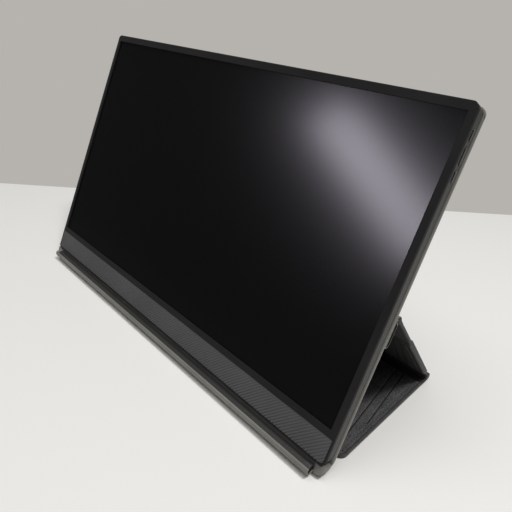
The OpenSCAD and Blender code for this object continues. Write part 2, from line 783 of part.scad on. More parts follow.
module upper_fold() {
    color([0.2, 0.2, 0.205]) on_strut() rotate([0, 90, 0]) cylinder(cover_w, r = upper_roll_r, center = true);
}

// Section of the strut: a soft sheet below the upper fold, then the boards, then a soft band at the rear fold
module strut_section() {
    soft = soft_t / 2;
    difference() {
        polygon([[upper_roll_r * 0.4, -soft], [soft_l, -soft], [board_start, strut_in], [board_end, strut_in],
            [board_end + 1.2, -band_t / 2], [strut_l - 1, -band_t / 2], [strut_l - 1, band_t / 2],
            [board_end + 2, band_t / 2], [board_end, strut_out], [board_start, strut_out], [soft_l, soft],
            [upper_roll_r * 0.4, soft]]);
        circle(upper_roll_r + 0.02);
        translate([strut_l, 0]) circle(rear_roll_r + turn_gap);
    }
}

strut_pocket = [board_start + 0.6, board_end - 0.6];

module strut_skin() {
    color([0.2, 0.2, 0.205]) on_strut() difference() {
        along_x(cover_w) strut_section();
        translate([-cover_x + panel_rim, strut_pocket[0], strut_in - 1])
            cube([cover_w - 2 * panel_rim, strut_pocket[1] - strut_pocket[0], strut_t - leather_t + 1]);
    }
}

// Inset of the strut's channel from the side of the cover at a distance s from the upper fold
function strut_inset(s) = strut_inset_top + (strut_inset_rear - strut_inset_top)
    * (s - board_start) / (strut_l - board_start);

module strut_board_sheet() {
    translate([0, 0, strut_in + lining_t]) linear_extrude(strut_board_t) children();
}

module strut_centre_board() {
    s0 = strut_pocket[0] + seat_gap;
    s1 = strut_pocket[1] - seat_gap;
    w0 = cover_x - strut_inset(s0);
    w1 = cover_x - strut_inset(s1);
    color([0.45, 0.42, 0.36]) on_strut() strut_board_sheet()
        polygon([[-w0, s0], [w0, s0], [w1, s1], [-w1, s1]]);
}

module strut_side_boards() {
    s0 = strut_pocket[0] + seat_gap;
    s1 = strut_pocket[1] - seat_gap;
    edge = cover_x - panel_rim - seat_gap;
    w0 = cover_x - strut_inset(s0) + channel_w;
    w1 = cover_x - strut_inset(s1) + channel_w;
    color([0.45, 0.42, 0.36]) on_strut() strut_board_sheet() for (side = [-1, 1])
        scale([side, 1]) polygon([[w0, s0], [edge, s0], [edge, s1], [w1, s1]]);
}

// A shallow groove along a slanted line between two points of a panel
module crease(a, b, z) {
    run = b - a;
    translate([a.x, a.y, z]) rotate([0, 0, atan2(run.y, run.x)])
        translate([-2, -groove_w / 2, -groove_depth]) cube([norm(run) + 4, groove_w, 2 * groove_depth]);
}

module strut_lining() {
    s0 = strut_pocket[0] + seat_gap;
    s1 = strut_pocket[1] - seat_gap;
    edge = cover_x - panel_rim - seat_gap;
    color([0.24, 0.24, 0.245]) on_strut() difference() {
        translate([-edge, s0, strut_in]) cube([2 * edge, s1 - s0, lining_t]);
        for (side = [-1, 1]) for (shift = [0, channel_w])
            crease([side * (cover_x - strut_inset(s0) + shift), s0],
                [side * (cover_x - strut_inset(s1) + shift), s1], strut_in);
    }
}

module rear_fold() {
    color([0.2, 0.2, 0.205]) on_base() translate([0, 0, rear_roll_r]) rotate([0, 90, 0])
        cylinder(cover_w, r = rear_roll_r, center = true);
}

base_band = hinge_band - 2;

module base_outline(inset) {
    translate([0, -base_l + inset]) face(cover_w - 2 * inset, 0, base_l - inset, base_r - inset, eps);
}

module base_skin() {
    color([0.2, 0.2, 0.205]) on_base() difference() {
        linear_extrude(base_t) base_outline(0);
        translate([-cover_x - 1, -base_band, band_t]) cube([cover_w + 2, base_band + 5, base_t]);
        translate([0, 0, leather_t]) linear_extrude(base_t) intersection() {
            base_outline(panel_rim);
            translate([-cover_x, -base_l]) square([cover_w, base_l - base_band - panel_rim]);
        }
        translate([0, 0, rear_roll_r]) rotate([0, 90, 0])
            cylinder(cover_w + 2, r = rear_roll_r + 0.02, center = true);
    }
}

// Inset of the base's channel from the side of the cover at a distance t in front of the rear fold
function base_inset(t) = base_inset_rear + (base_inset_front - base_inset_rear) * t / base_l;

base_board_rear = base_band + panel_rim + seat_gap;
base_board_front = base_l - panel_rim - seat_gap;
base_magnet_size = [24, 8, 1.6];
base_magnet_count = 6;
base_magnet_pitch = 56;
base_magnet_inset = 12;

module base_magnet_row(grow) {
    for (i = [0:base_magnet_count - 1]) translate([(i - (base_magnet_count - 1) / 2) * base_magnet_pitch,
        -base_l + base_magnet_inset, leather_t + base_magnet_size.z / 2])
        cube([base_magnet_size.x + grow, base_magnet_size.y + grow, base_magnet_size.z + grow], center = true);
}

module base_centre_board() {
    w0 = cover_x - base_inset(base_board_rear);
    w1 = cover_x - base_inset(base_board_front - 6);
    color([0.45, 0.42, 0.36]) on_base() difference() {
        translate([0, 0, leather_t]) linear_extrude(base_board_t)
            polygon([[-w0, -base_board_rear], [w0, -base_board_rear], [w1, -base_board_front + 6],
                [w1 - 6, -base_board_front], [-w1 + 6, -base_board_front], [-w1, -base_board_front + 6]]);
        base_magnet_row(0.1);
    }
}

module base_side_boards() {
    edge = cover_x - channel_stop;
    reach = (base_inset_rear - channel_w - channel_stop) * base_l / (base_inset_rear - base_inset_front);
    w0 = cover_x - base_inset(base_board_rear) + channel_w;
    color([0.45, 0.42, 0.36]) on_base() translate([0, 0, leather_t]) linear_extrude(base_board_t)
        for (side = [-1, 1]) scale([side, 1])
            polygon([[w0, -base_board_rear], [edge, -base_board_rear], [edge, -reach + 4]]);
}

module base_lining() {
    t1 = base_board_front - 3;
    reach = (base_inset_rear - channel_w - channel_stop) * base_l / (base_inset_rear - base_inset_front);
    color([0.24, 0.24, 0.245]) on_base() difference() {
        translate([0, 0, base_t - lining_t]) linear_extrude(lining_t) intersection() {
            base_outline(panel_rim + seat_gap);
            translate([-cover_x, -base_l]) square([cover_w, base_l - base_board_rear]);
        }
        for (side = [-1, 1]) {
            crease([side * (cover_x - base_inset(base_board_rear)), -base_board_rear],
                [side * (cover_x - base_inset(t1)), -t1], base_t);
            crease([side * (cover_x - base_inset(base_board_rear) + channel_w), -base_board_rear],
                [side * (cover_x - channel_stop), -reach], base_t);
        }
    }
}

module base_magnets() {
    color([0.72, 0.72, 0.74]) on_base() base_magnet_row(0);
}

front_bezel();
chin_panel();
screen_film();
lcd_cell();
diffuser_stack();
light_guide();
led_bar();
panel_tray();
mid_frame();
rear_housing();
housing_screws();
main_board();
shield_cans();
battery_cells();
speaker(-1);  // speaker_left
speaker(1);  // speaker_right
display_flex();
button_board();
button_flex();
usb_c_port_lower();
usb_c_port_upper();
micro_hdmi_port();
audio_jack();
power_button();
brightness_rocker();
rocker_pin();
menu_button();
back_skin();
back_board();
back_lining();
back_magnets();
spine_skin();
spine_bar();
spine_lining();
lip_roll();
lip_rod();
tab_skin();
tab_magnets();
upper_fold();
strut_skin();
strut_centre_board();
strut_side_boards();
strut_lining();
rear_fold();
base_skin();
base_centre_board();
base_side_boards();
base_lining();
base_magnets();
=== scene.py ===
import json
import math
import random

import bmesh
import bpy
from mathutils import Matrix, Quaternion, Vector, noise


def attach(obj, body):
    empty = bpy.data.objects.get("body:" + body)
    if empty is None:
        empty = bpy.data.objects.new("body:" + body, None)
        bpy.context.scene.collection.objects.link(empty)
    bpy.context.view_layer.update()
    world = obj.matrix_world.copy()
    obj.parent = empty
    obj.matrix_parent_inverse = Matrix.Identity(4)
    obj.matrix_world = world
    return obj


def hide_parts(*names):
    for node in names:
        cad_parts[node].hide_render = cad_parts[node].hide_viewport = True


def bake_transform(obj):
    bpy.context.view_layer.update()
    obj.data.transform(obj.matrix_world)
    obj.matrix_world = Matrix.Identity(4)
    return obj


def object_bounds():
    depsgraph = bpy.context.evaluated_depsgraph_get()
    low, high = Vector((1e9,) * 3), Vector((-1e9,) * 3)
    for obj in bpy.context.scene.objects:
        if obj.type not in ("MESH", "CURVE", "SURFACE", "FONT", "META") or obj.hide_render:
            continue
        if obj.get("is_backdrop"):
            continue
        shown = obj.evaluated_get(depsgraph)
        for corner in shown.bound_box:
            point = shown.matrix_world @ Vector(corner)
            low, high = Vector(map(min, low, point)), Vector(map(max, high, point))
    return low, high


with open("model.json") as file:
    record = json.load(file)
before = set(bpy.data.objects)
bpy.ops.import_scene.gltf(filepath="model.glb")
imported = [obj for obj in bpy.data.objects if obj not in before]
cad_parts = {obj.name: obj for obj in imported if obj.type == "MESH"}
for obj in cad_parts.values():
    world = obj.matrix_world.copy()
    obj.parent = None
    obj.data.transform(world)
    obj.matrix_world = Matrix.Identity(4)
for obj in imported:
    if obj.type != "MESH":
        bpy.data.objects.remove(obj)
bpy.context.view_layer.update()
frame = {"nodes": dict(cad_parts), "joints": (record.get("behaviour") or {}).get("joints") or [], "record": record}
nodes = frame["nodes"]
joints = {j["name"]: j for j in frame["joints"]}
mm = 0.001
print("frame loaded with", len(nodes), "nodes")

# where things are, in mm
lean = {"tiltDeg": 22.3, "footY": -73.674, "footZ": 12.538, "strutDeg": 48.461}
cover = {"halfW": 200.7, "monitorT": 11.0, "backT": 3.5, "top": 249.7, "heelLow": -8.0,
         "heelR": 9.5, "topR": 5.0}


def monitorPoint(x, d, h):  # across, behind the screen side, up the face
    t = math.radians(lean["tiltDeg"])
    y = lean["footY"] + h * math.sin(t) + d * math.cos(t)
    z = lean["footZ"] + h * math.cos(t) - d * math.sin(t)
    return Vector((x, y, z)) * mm


def strutPoint(x, s, n):  # down the strut from the upper fold, out from its middle plane
    a = math.radians(lean["strutDeg"])
    fold = Vector(joints["strut_fold"]["pos_m"]) / mm
    y = fold.y + s * math.cos(a) + n * math.sin(a)
    z = fold.z - s * math.sin(a) + n * math.cos(a)
    return Vector((x, y, z)) * mm


def basePoint(x, t, z):  # forward of the rear fold, above the table
    fold = Vector(joints["base_fold"]["pos_m"]) / mm
    return Vector((x, fold.y - t, z)) * mm


def smooth(a, b, v):
    u = min(1, max(0, (v - a) / (b - a)))
    return u * u * (3 - 2 * u)


# camera
cameraSet = {"placeMm": (304.51, -265.99, 281.79), "turnDeg": (62.782, -4.302, 45.580), "lensMm": 32.844,
             "shiftX": -0.0023, "shiftY": -0.0171}
camData = bpy.data.cameras.new("photoCamera")
camData.lens = cameraSet["lensMm"]
camData.sensor_width = 36
camData.shift_x = cameraSet["shiftX"]
camData.shift_y = cameraSet["shiftY"]
camData.clip_start = 0.01
cam = bpy.data.objects.new("photoCamera", camData)
cam.location = Vector(cameraSet["placeMm"]) * mm
cam.rotation_euler = [math.radians(v) for v in cameraSet["turnDeg"]]
bpy.context.scene.collection.objects.link(cam)
bpy.context.scene.camera = cam
print("camera placed")


# materials
def toLinear(code, alpha=1.0):
    def one(c):
        return c / 12.92 if c <= 0.04045 else ((c + 0.055) / 1.055) ** 2.4
    return tuple(one(int(code[i:i + 2], 16) / 255) for i in (1, 3, 5)) + (alpha,)


def addNode(owner, kind, settings=None, stops=(), **inputs):  # sockets by name, or i0, i1 where names repeat
    node = owner.node_tree.nodes.new(kind)
    for key, value in (settings or {}).items():
        setattr(node, key, value)
    for i, (at, code) in enumerate(stops):
        node.color_ramp.elements[i].position, node.color_ramp.elements[i].color = at, toLinear(code)
    for key, value in inputs.items():
        socket = node.inputs[int(key[1:]) if key[1:].isdigit() else key.replace("_", " ")]
        if isinstance(value, bpy.types.NodeSocket):
            owner.node_tree.links.new(value, socket)
        else:
            socket.default_value = value
    return node


def startMaterial(name, **surface):
    mat = bpy.data.materials.new(name)
    mat.use_nodes = True
    shader = mat.node_tree.nodes["Principled BSDF"]
    for key, value in surface.items():
        shader.inputs[key.replace("_", " ")].default_value = value
    place = addNode(mat, "ShaderNodeTexCoord").outputs["Object"]
    return mat, shader, place


def join(mat, source, shader, socket):
    mat.node_tree.links.new(source, shader.inputs[socket])


# moulded ABS, spark-eroded tool: dead even near-black with a fine dry texture, so lights smear wide on it
def plasticMaterial(name, dark, light, rough, grainMm, depthMm, **surface):
    mat, shader, place = startMaterial(name, IOR=1.53, **surface)
    cloud = addNode(mat, "ShaderNodeTexNoise", Vector=place, Scale=1 / (40 * mm), Detail=3.0)
    tint = addNode(mat, "ShaderNodeValToRGB", stops=((0.35, dark), (0.65, light)), Fac=cloud.outputs["Fac"])
    join(mat, tint.outputs["Color"], shader, "Base Color")
    grain = addNode(mat, "ShaderNodeTexNoise", Vector=place, Scale=1 / (grainMm * mm), Detail=2.0, Roughness=0.6)
    rub = addNode(mat, "ShaderNodeMapRange", Value=grain.outputs["Fac"], i3=rough - 0.05, i4=rough + 0.05)
    join(mat, rub.outputs["Result"], shader, "Roughness")
    bump = addNode(mat, "ShaderNodeBump", Height=grain.outputs["Fac"], Strength=0.5, Distance=depthMm * mm)
    join(mat, bump.outputs["Normal"], shader, "Normal")
    return mat


# pressed PU leather: pebbles a little over 1 mm, dark in the valleys, worn lighter and smoother on the crowns
def leatherMaterial(name, valley, crown, pebbleMm, depthMm, rough, **surface):
    mat, shader, place = startMaterial(name, IOR=1.48, **surface)
    shader.inputs["Sheen Weight"].default_value = 0.05
    warp = addNode(mat, "ShaderNodeTexNoise", Vector=place, Scale=1 / (3 * mm), Detail=2.0)
    moved = addNode(mat, "ShaderNodeMixRGB", {"blend_type": "ADD"}, Fac=pebbleMm * 0.45 * mm, Color1=place,
                    Color2=warp.outputs["Color"])
    pebble = addNode(mat, "ShaderNodeTexVoronoi", {"feature": "SMOOTH_F1"}, Vector=moved.outputs["Color"],
                     Scale=1 / (pebbleMm * mm), Smoothness=0.6)
    tooth = addNode(mat, "ShaderNodeTexNoise", Vector=place, Scale=1 / (0.5 * mm), Detail=2.0)
    cloud = addNode(mat, "ShaderNodeTexNoise", Vector=place, Scale=1 / (22 * mm), Detail=4.0, Roughness=0.55)
    high = addNode(mat, "ShaderNodeMapRange", Value=pebble.outputs["Distance"], i1=0.15, i2=0.75, i3=1.0, i4=0.0)
    tone = addNode(mat, "ShaderNodeMath", {"operation": "MULTIPLY_ADD"}, i0=cloud.outputs["Fac"], i1=0.9, i2=-0.45)
    mixed = addNode(mat, "ShaderNodeMath", {"operation": "ADD", "use_clamp": True}, i0=high.outputs["Result"],
                    i1=tone.outputs["Value"])
    tint = addNode(mat, "ShaderNodeValToRGB", stops=((0.0, valley), (1.0, crown)), Fac=mixed.outputs["Value"])
    join(mat, tint.outputs["Color"], shader, "Base Color")
    rub = addNode(mat, "ShaderNodeMapRange", Value=mixed.outputs["Value"], i3=rough + 0.12, i4=rough)
    join(mat, rub.outputs["Result"], shader, "Roughness")
    relief = addNode(mat, "ShaderNodeMath", {"operation": "MULTIPLY_ADD"}, i0=tooth.outputs["Fac"], i1=0.25,
                     i2=high.outputs["Result"])
    bump = addNode(mat, "ShaderNodeBump", Height=relief.outputs["Value"], Strength=0.8, Distance=depthMm * mm)
    join(mat, bump.outputs["Normal"], shader, "Normal")
    return mat


# plated, drawn or blasted metals: one even colour, the finish shows as fine changes of gloss
def metalMaterial(name, colour, rough, stretch, markMm, **surface):
    mat, shader, place = startMaterial(name, Metallic=1.0, **surface)
    shader.inputs["Base Color"].default_value = toLinear(colour)
    turned = addNode(mat, "ShaderNodeMapping", Vector=place, Scale=stretch)
    marks = addNode(mat, "ShaderNodeTexNoise", Vector=turned.outputs["Vector"], Scale=1 / (markMm * mm), Detail=3.0)
    rub = addNode(mat, "ShaderNodeMapRange", Value=marks.outputs["Fac"], i3=rough - 0.08, i4=rough + 0.08)
    join(mat, rub.outputs["Result"], shader, "Roughness")
    bump = addNode(mat, "ShaderNodeBump", Height=marks.outputs["Fac"], Strength=0.3, Distance=0.02 * mm)
    join(mat, bump.outputs["Normal"], shader, "Normal")
    return mat


# front frame: moulded ABS, dead even near-black that hardly mirrors
frameAbs = plasticMaterial("mouldedAbsBlack", "#222223", "#262627", 0.55, 0.5, 0.04, Specular_IOR_Level=0.06)
# chin: moulded ABS, a step greyer, so that each rib shows its lit and its shaded flank
chinAbs = plasticMaterial("mouldedAbsRibbed", "#4a4a4b", "#505051", 0.5, 0.4, 0.03, Specular_IOR_Level=0.3)
# rim behind the frame: moulded ABS with a faint satin line where it turns
rimAbs = plasticMaterial("mouldedAbsRim", "#2a2a2b", "#2f2f30", 0.45, 0.5, 0.04, Specular_IOR_Level=0.3)
# buttons: moulded ABS rubbed smoother by fingers, a small soft highlight on each
keyAbs = plasticMaterial("mouldedAbsKeys", "#1c1c1d", "#202021", 0.36, 0.5, 0.02)
# speaker boxes: moulded ABS, plain matt black
speakerAbs = plasticMaterial("mouldedAbsSpeaker", "#161616", "#1b1b1b", 0.5, 0.6, 0.05)
# light bar: moulded resin, warm white and slightly waxy
ledResin = plasticMaterial("mouldedLedResin", "#e8e4c8", "#f2eed8", 0.4, 0.8, 0.02)

# rear shell: bead-blasted, anodised aluminium, satin dark grey that takes the table's light along its edge
shellMetal = metalMaterial("blastedAnodisedAluminium", "#565657", 0.45, (1, 1, 1), 0.4)
# tray: rolled zinc-plated steel, pale and slightly blue with broad soft patches
trayMetal = metalMaterial("zincPlatedSteel", "#b9bbc0", 0.35, (1, 1, 1), 1.5)
# sockets and cans: rolled tin-plated steel, brighter, with fine marks along the strip
tinMetal = metalMaterial("tinPlatedSteel", "#c4c4c6", 0.28, (1, 6, 1), 0.8)
# screws: turned steel, black oxide, dark with a dull gleam
screwMetal = metalMaterial("blackOxideSteel", "#3c3c3e", 0.4, (1, 1, 1), 0.5)
# magnets: nickel-plated, the brightest metal, slightly yellow
magnetMetal = metalMaterial("nickelPlatedMagnet", "#b8b6ae", 0.22, (1, 1, 1), 2.0)
# stiffener and rod: drawn aluminium, mid grey, streaked along its length
barMetal = metalMaterial("drawnAluminiumBar", "#9a9a9c", 0.38, (0.05, 1, 1), 0.5)

# polyurethane edge coat, brushed on: closes the cut edges, smooth enough to mirror the pale table at a low angle;
# its grey, far lighter than the leather, is partly painted reflection of that table
edgeCoatAndReflection = plasticMaterial("satinEdgeCoatPaintedReflection", "#65645e", "#6e6d66", 0.28, 0.8, 0.02)
# pale grey laid on the heel, under the lip and on the lip's left end: painted reflection of the pale table, and
# painted light where the ends catch the lamps; smooth, dull and even
paleReflectionPaint = plasticMaterial("paleTableReflectionPaint", "#706f6a", "#7c7b75", 0.55, 0.8, 0.03)
# paint on the cut leather, brushed on: smooth and dark; the same dark laid along the creases of the inner faces is
# painted shade
edgePaintAndCreaseShade = plasticMaterial("edgePaintAndCreaseShade", "#131313", "#191919", 0.8, 0.7, 0.05, Specular_IOR_Level=0.1)

# outside of the cover: pressed grain, charcoal with lighter worn crowns
outerLeather = leatherMaterial("pressedPuLeatherOuter", "#1c1c1d", "#39393a", 1.15, 0.10, 0.46)
# strut: the same grain, darker and browner than the outside of the cover, and duller
foldLeather = leatherMaterial("pressedPuLeatherFold", "#0f0f0e", "#211f1c", 1.15, 0.08, 0.6)
# inside of the strut: the same leather as the top of the base, made almost black as painted shade of the pocket
# behind the monitor; dry
shadedPocketLeather = leatherMaterial("pressedPuLeatherPocketShaded", "#0a0a0a", "#171614", 1.15, 0.08, 0.7,
                                Specular_IOR_Level=0.15)
# lip: rolled tight, so the grain is pulled nearly smooth; its near-black, darker than the outer leather, is partly
# painted shade from the chin above
rollLeather = leatherMaterial("smoothPuLeatherRoll", "#101010", "#191918", 1.0, 0.03, 0.5)
# top of the base: clear pebbles, pale on the crowns, glossy enough to sparkle under the lamps
innerLeather = leatherMaterial("pressedPuLeatherInner", "#252526", "#626263", 0.95, 0.09, 0.42)

# brushed microfibre: short nap, dull with a soft pale sheen where the nap turns
liningCloth, shader, place = startMaterial("brushedMicrofibre", Roughness=0.9, IOR=1.45)
shader.inputs["Sheen Weight"].default_value = 0.4
nap = addNode(liningCloth, "ShaderNodeTexNoise", Vector=place, Scale=1 / (0.7 * mm), Detail=4.0)
tint = addNode(liningCloth, "ShaderNodeValToRGB", stops=((0.3, "#151516"), (0.7, "#2a2a2c")),
               Fac=nap.outputs["Fac"])
join(liningCloth, tint.outputs["Color"], shader, "Base Color")
bump = addNode(liningCloth, "ShaderNodeBump", Height=nap.outputs["Fac"], Strength=0.6, Distance=0.1 * mm)
join(liningCloth, bump.outputs["Normal"], shader, "Normal")

# waxed polyester thread: two plies, a touch lighter than the leather
threadPoly, shader, place = startMaterial("waxedPolyesterThread", Roughness=0.5, IOR=1.5)
twist = addNode(threadPoly, "ShaderNodeTexWave", {"bands_direction": "DIAGONAL"}, Vector=place, Scale=1 / (3 * mm))
tint = addNode(threadPoly, "ShaderNodeValToRGB", stops=((0.2, "#262627"), (0.8, "#4c4c4d")),
               Fac=twist.outputs["Fac"])
join(threadPoly, tint.outputs["Color"], shader, "Base Color")

# anti-glare film with an anti-reflex coat: almost black, about 1 % reflex, lamps show as a soft cloud
screenFilm, shader, place = startMaterial("antiGlareFilm", IOR=1.5, Roughness=0.6, Specular_IOR_Level=0.0,
                                          Coat_Weight=0.1, Coat_Roughness=0.2, Coat_IOR=1.5)
sparkle = addNode(screenFilm, "ShaderNodeTexNoise", Vector=place, Scale=1 / (0.6 * mm), Detail=1.0)
tint = addNode(screenFilm, "ShaderNodeValToRGB", stops=((0.3, "#070708"), (0.7, "#09090a")),
               Fac=sparkle.outputs["Fac"])
join(screenFilm, tint.outputs["Color"], shader, "Base Color")

# bonded glass sheets of the cell, smoky from the polarisers
cellGlass, shader, place = startMaterial("polarisedCellGlass", IOR=1.52, Roughness=0.08)
haze = addNode(cellGlass, "ShaderNodeTexNoise", Vector=place, Scale=1 / (30 * mm))
tint = addNode(cellGlass, "ShaderNodeValToRGB", stops=((0.3, "#15181b"), (0.7, "#1d2124")), Fac=haze.outputs["Fac"])
join(cellGlass, tint.outputs["Color"], shader, "Base Color")

# acrylic light guide and milky PET sheets
opticalSheet, shader, place = startMaterial("acrylicAndDiffuserSheet", IOR=1.49, Roughness=0.2)
dots = addNode(opticalSheet, "ShaderNodeTexVoronoi", Vector=place, Scale=1 / (2.5 * mm))
tint = addNode(opticalSheet, "ShaderNodeValToRGB", stops=((0.1, "#ffffff"), (0.3, "#dfe5e8")),
               Fac=dots.outputs["Distance"])
join(opticalSheet, tint.outputs["Color"], shader, "Base Color")

# solder mask over copper tracks: green with slightly lighter runs
circuitBoard, shader, place = startMaterial("solderMaskedBoard", IOR=1.5, Roughness=0.3)
tracks = addNode(circuitBoard, "ShaderNodeTexBrick", Vector=place, Scale=1 / (9 * mm), Color1=toLinear("#0f4a2c"),
                 Color2=toLinear("#12532f"), Mortar=toLinear("#1c6b40"))
join(circuitBoard, tracks.outputs["Color"], shader, "Base Color")

# aluminium-laminated pouch: dull silver foil with soft dents
cellFoil, shader, place = startMaterial("laminatedPouchFoil", Metallic=0.7, Roughness=0.42)
dents = addNode(cellFoil, "ShaderNodeTexNoise", Vector=place, Scale=1 / (14 * mm), Detail=2.0)
tint = addNode(cellFoil, "ShaderNodeValToRGB", stops=((0.3, "#9c9da1"), (0.7, "#b2b3b6")), Fac=dents.outputs["Fac"])
join(cellFoil, tint.outputs["Color"], shader, "Base Color")
bump = addNode(cellFoil, "ShaderNodeBump", Height=dents.outputs["Fac"], Strength=0.4, Distance=0.4 * mm)
join(cellFoil, bump.outputs["Normal"], shader, "Normal")

# polyimide ribbon: amber film with copper runs showing through
flexFilm, shader, place = startMaterial("polyimideRibbon", IOR=1.6, Roughness=0.28)
runs = addNode(flexFilm, "ShaderNodeTexWave", Vector=place, Scale=1 / (8 * mm))
tint = addNode(flexFilm, "ShaderNodeValToRGB", stops=((0.3, "#a8641c"), (0.7, "#c9832c")), Fac=runs.outputs["Fac"])
join(flexFilm, tint.outputs["Color"], shader, "Base Color")

# grey pressed board inside the cover: fibrous and matt
pressedBoard, shader, place = startMaterial("pressedFibreBoard", IOR=1.5, Roughness=0.85)
fibre = addNode(pressedBoard, "ShaderNodeTexNoise", Vector=place, Scale=1 / (1.2 * mm), Detail=5.0, Distortion=1.5)
tint = addNode(pressedBoard, "ShaderNodeValToRGB", stops=((0.3, "#7d7767"), (0.7, "#968f7c")),
               Fac=fibre.outputs["Fac"])
join(pressedBoard, tint.outputs["Color"], shader, "Base Color")

slotMaterial = {
    "frame_plastic": frameAbs, "chin_plastic": chinAbs, "matt_screen": screenFilm, "cell_glass": cellGlass,
    "optical_sheet": opticalSheet, "led_strip": ledResin, "sheet_steel": trayMetal, "rim_plastic": rimAbs,
    "shell_alloy": shellMetal, "screw_steel": screwMetal, "circuit_board": circuitBoard, "tinned_steel": tinMetal,
    "cell_foil": cellFoil, "speaker_plastic": speakerAbs, "flex_film": flexFilm, "button_plastic": keyAbs,
    "cover_leather": outerLeather, "inner_leather": innerLeather, "cover_board": pressedBoard,
    "cover_lining": liningCloth, "magnet_nickel": magnetMetal, "stiffener_alloy": barMetal}
bevelMm = {"front_bezel": 0.15, "mid_frame": 0.15, "rear_housing": 0.2, "power_button": 0.25, "menu_button": 0.25,
           "brightness_rocker": 0.25}
for part in frame["record"]["subparts"]:
    node = nodes[part["node"]]
    node.data.materials.clear()
    node.data.materials.append(slotMaterial[part["material_slot"]])
    if part["node"] in bevelMm:
        weld = node.modifiers.new("weld", "WELD")
        weld.merge_threshold = 0.002 * mm
        bevel = node.modifiers.new("bevel", "BEVEL")
        bevel.width = bevelMm[part["node"]] * mm
        bevel.segments = 2
        bevel.limit_method = "ANGLE"
        bevel.angle_limit = math.radians(35)
        bevel.harden_normals = True
print("materials made:", len(bpy.data.materials))


# mesh helpers
def meshPiece(name, verts, faces, material, body, more=(), pick=None, sharpDeg=40):
    mesh = bpy.data.meshes.new(name)
    mesh.from_pydata([tuple(v) for v in verts], [], faces)
    for m in (material, *more):
        mesh.materials.append(m)
    if pick:
        for i, index in enumerate(pick):
            mesh.polygons[i].material_index = index
    bm = bmesh.new()
    bm.from_mesh(mesh)
    bmesh.ops.recalc_face_normals(bm, faces=bm.faces)
    bm.to_mesh(mesh)
    bm.free()
    mesh.shade_smooth()
    mesh.set_sharp_from_angle(angle=math.radians(sharpDeg))
    obj = bpy.data.objects.new(name, mesh)
    bpy.context.scene.collection.objects.link(obj)
    if body:
        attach(obj, body)
    return obj


def loft(rows):  # skins a row of closed loops of the same count and closes both ends
    count = len(rows[0])
    faces = []
    for i in range(len(rows) - 1):
        for k in range(count):
            a, b = i * count + k, i * count + (k + 1) % count
            faces.append((a, b, b + count, a + count))
    faces.append(tuple(range(count)))
    faces.append(tuple(range((len(rows) - 1) * count, len(rows) * count)))
    return [p for row in rows for p in row], faces


def arc(cx, cy, r, a0, a1, steps):
    return [(cx + r * math.cos(math.radians(a0 + (a1 - a0) * i / steps)),
             cy + r * math.sin(math.radians(a0 + (a1 - a0) * i / steps))) for i in range(steps + 1)]


def line(x0, y0, x1, y1, steps):  # without its two ends
    return [(x0 + (x1 - x0) * i / steps, y0 + (y1 - y0) * i / steps) for i in range(1, steps)]


def outward(loop):  # unit normals of a closed loop in its own plane
    area = sum(a[0] * b[1] - b[0] * a[1] for a, b in zip(loop, loop[1:] + loop[:1]))
    sign = 1 if area > 0 else -1
    out = []
    for i, p in enumerate(loop):
        a, b = loop[i - 1], loop[(i + 1) % len(loop)]
        t = Vector((b[0] - a[0], b[1] - a[1]))
        t = t.normalized() if t.length > 1e-9 else Vector((1, 0))
        out.append((t.y * sign, -t.x * sign))
    return out


def edgePick(normals, rowCount, isFace, skip=3):  # 0 on the broad faces, 1 on the coated edges and ends
    count = len(normals)
    pick = []
    for i in range(rowCount - 1):
        for k in range(count):
            broad = isFace(normals[k]) and isFace(normals[(k + 1) % count]) and skip <= i < rowCount - 1 - skip
            pick.append(0 if broad else 1)
    return pick + [1, 1]


def crossStations(half, roundR, cornerR, inner):  # distances from the end of the piece, then on to the middle
    ends = [roundR * (1 - math.cos(math.radians(a))) for a in (0, 30, 60, 90)]
    corner = [cornerR * (1 - math.cos(math.radians(a))) for a in (45, 55, 65, 75, 90) if cornerR]
    left = sorted(set(ends + [c for c in corner if c > roundR + 0.2]))
    spots = left + [e for e in inner if e > left[-1] + 0.3]
    return [-(half - e) for e in spots] + [half - e for e in reversed(spots)]


def endInset(half, x, roundR):  # how far the skin has drawn in where a side edge is rounded
    e = half - abs(x)
    if e >= roundR:
        return 0.0
    return roundR - math.sqrt(max(0, roundR ** 2 - (roundR - e) ** 2))


def cornerInset(half, x, r):
    e = half - abs(x)
    return 0.0 if e >= r else r - math.sqrt(max(0, r * r - (r - e) ** 2))


def crinkle(x, s, seed, fine):  # small uneven waves of worked leather
    broad = noise.noise(Vector((x / 38 + seed, s / 9, seed)))
    return broad * 0.6 + noise.noise(Vector((x / 9, s / 3, seed))) * fine


def groove(v, centre, deep, half):  # depth of a soft pressed line
    return deep * math.exp(-((v - centre) / half) ** 2)


print("mesh helpers ready")

# back panel and spine, one leather wrap
backSet = {"spineFront": 3.0, "spineTop": -0.6, "edgeR": 1.2, "sideR": 1.1, "stitchInset": 5.0, "seamDeep": 0.28,
           "seamHalf": 0.55, "padRise": 0.10, "wave": 0.05, "frontHeelR": 5.0, "swellOut": 2.5, "swellDown": 1.8,
           "swellFrom": 191.8, "swellFull": 193.4, "swellRight": 0.4, "endThick": 0.25}


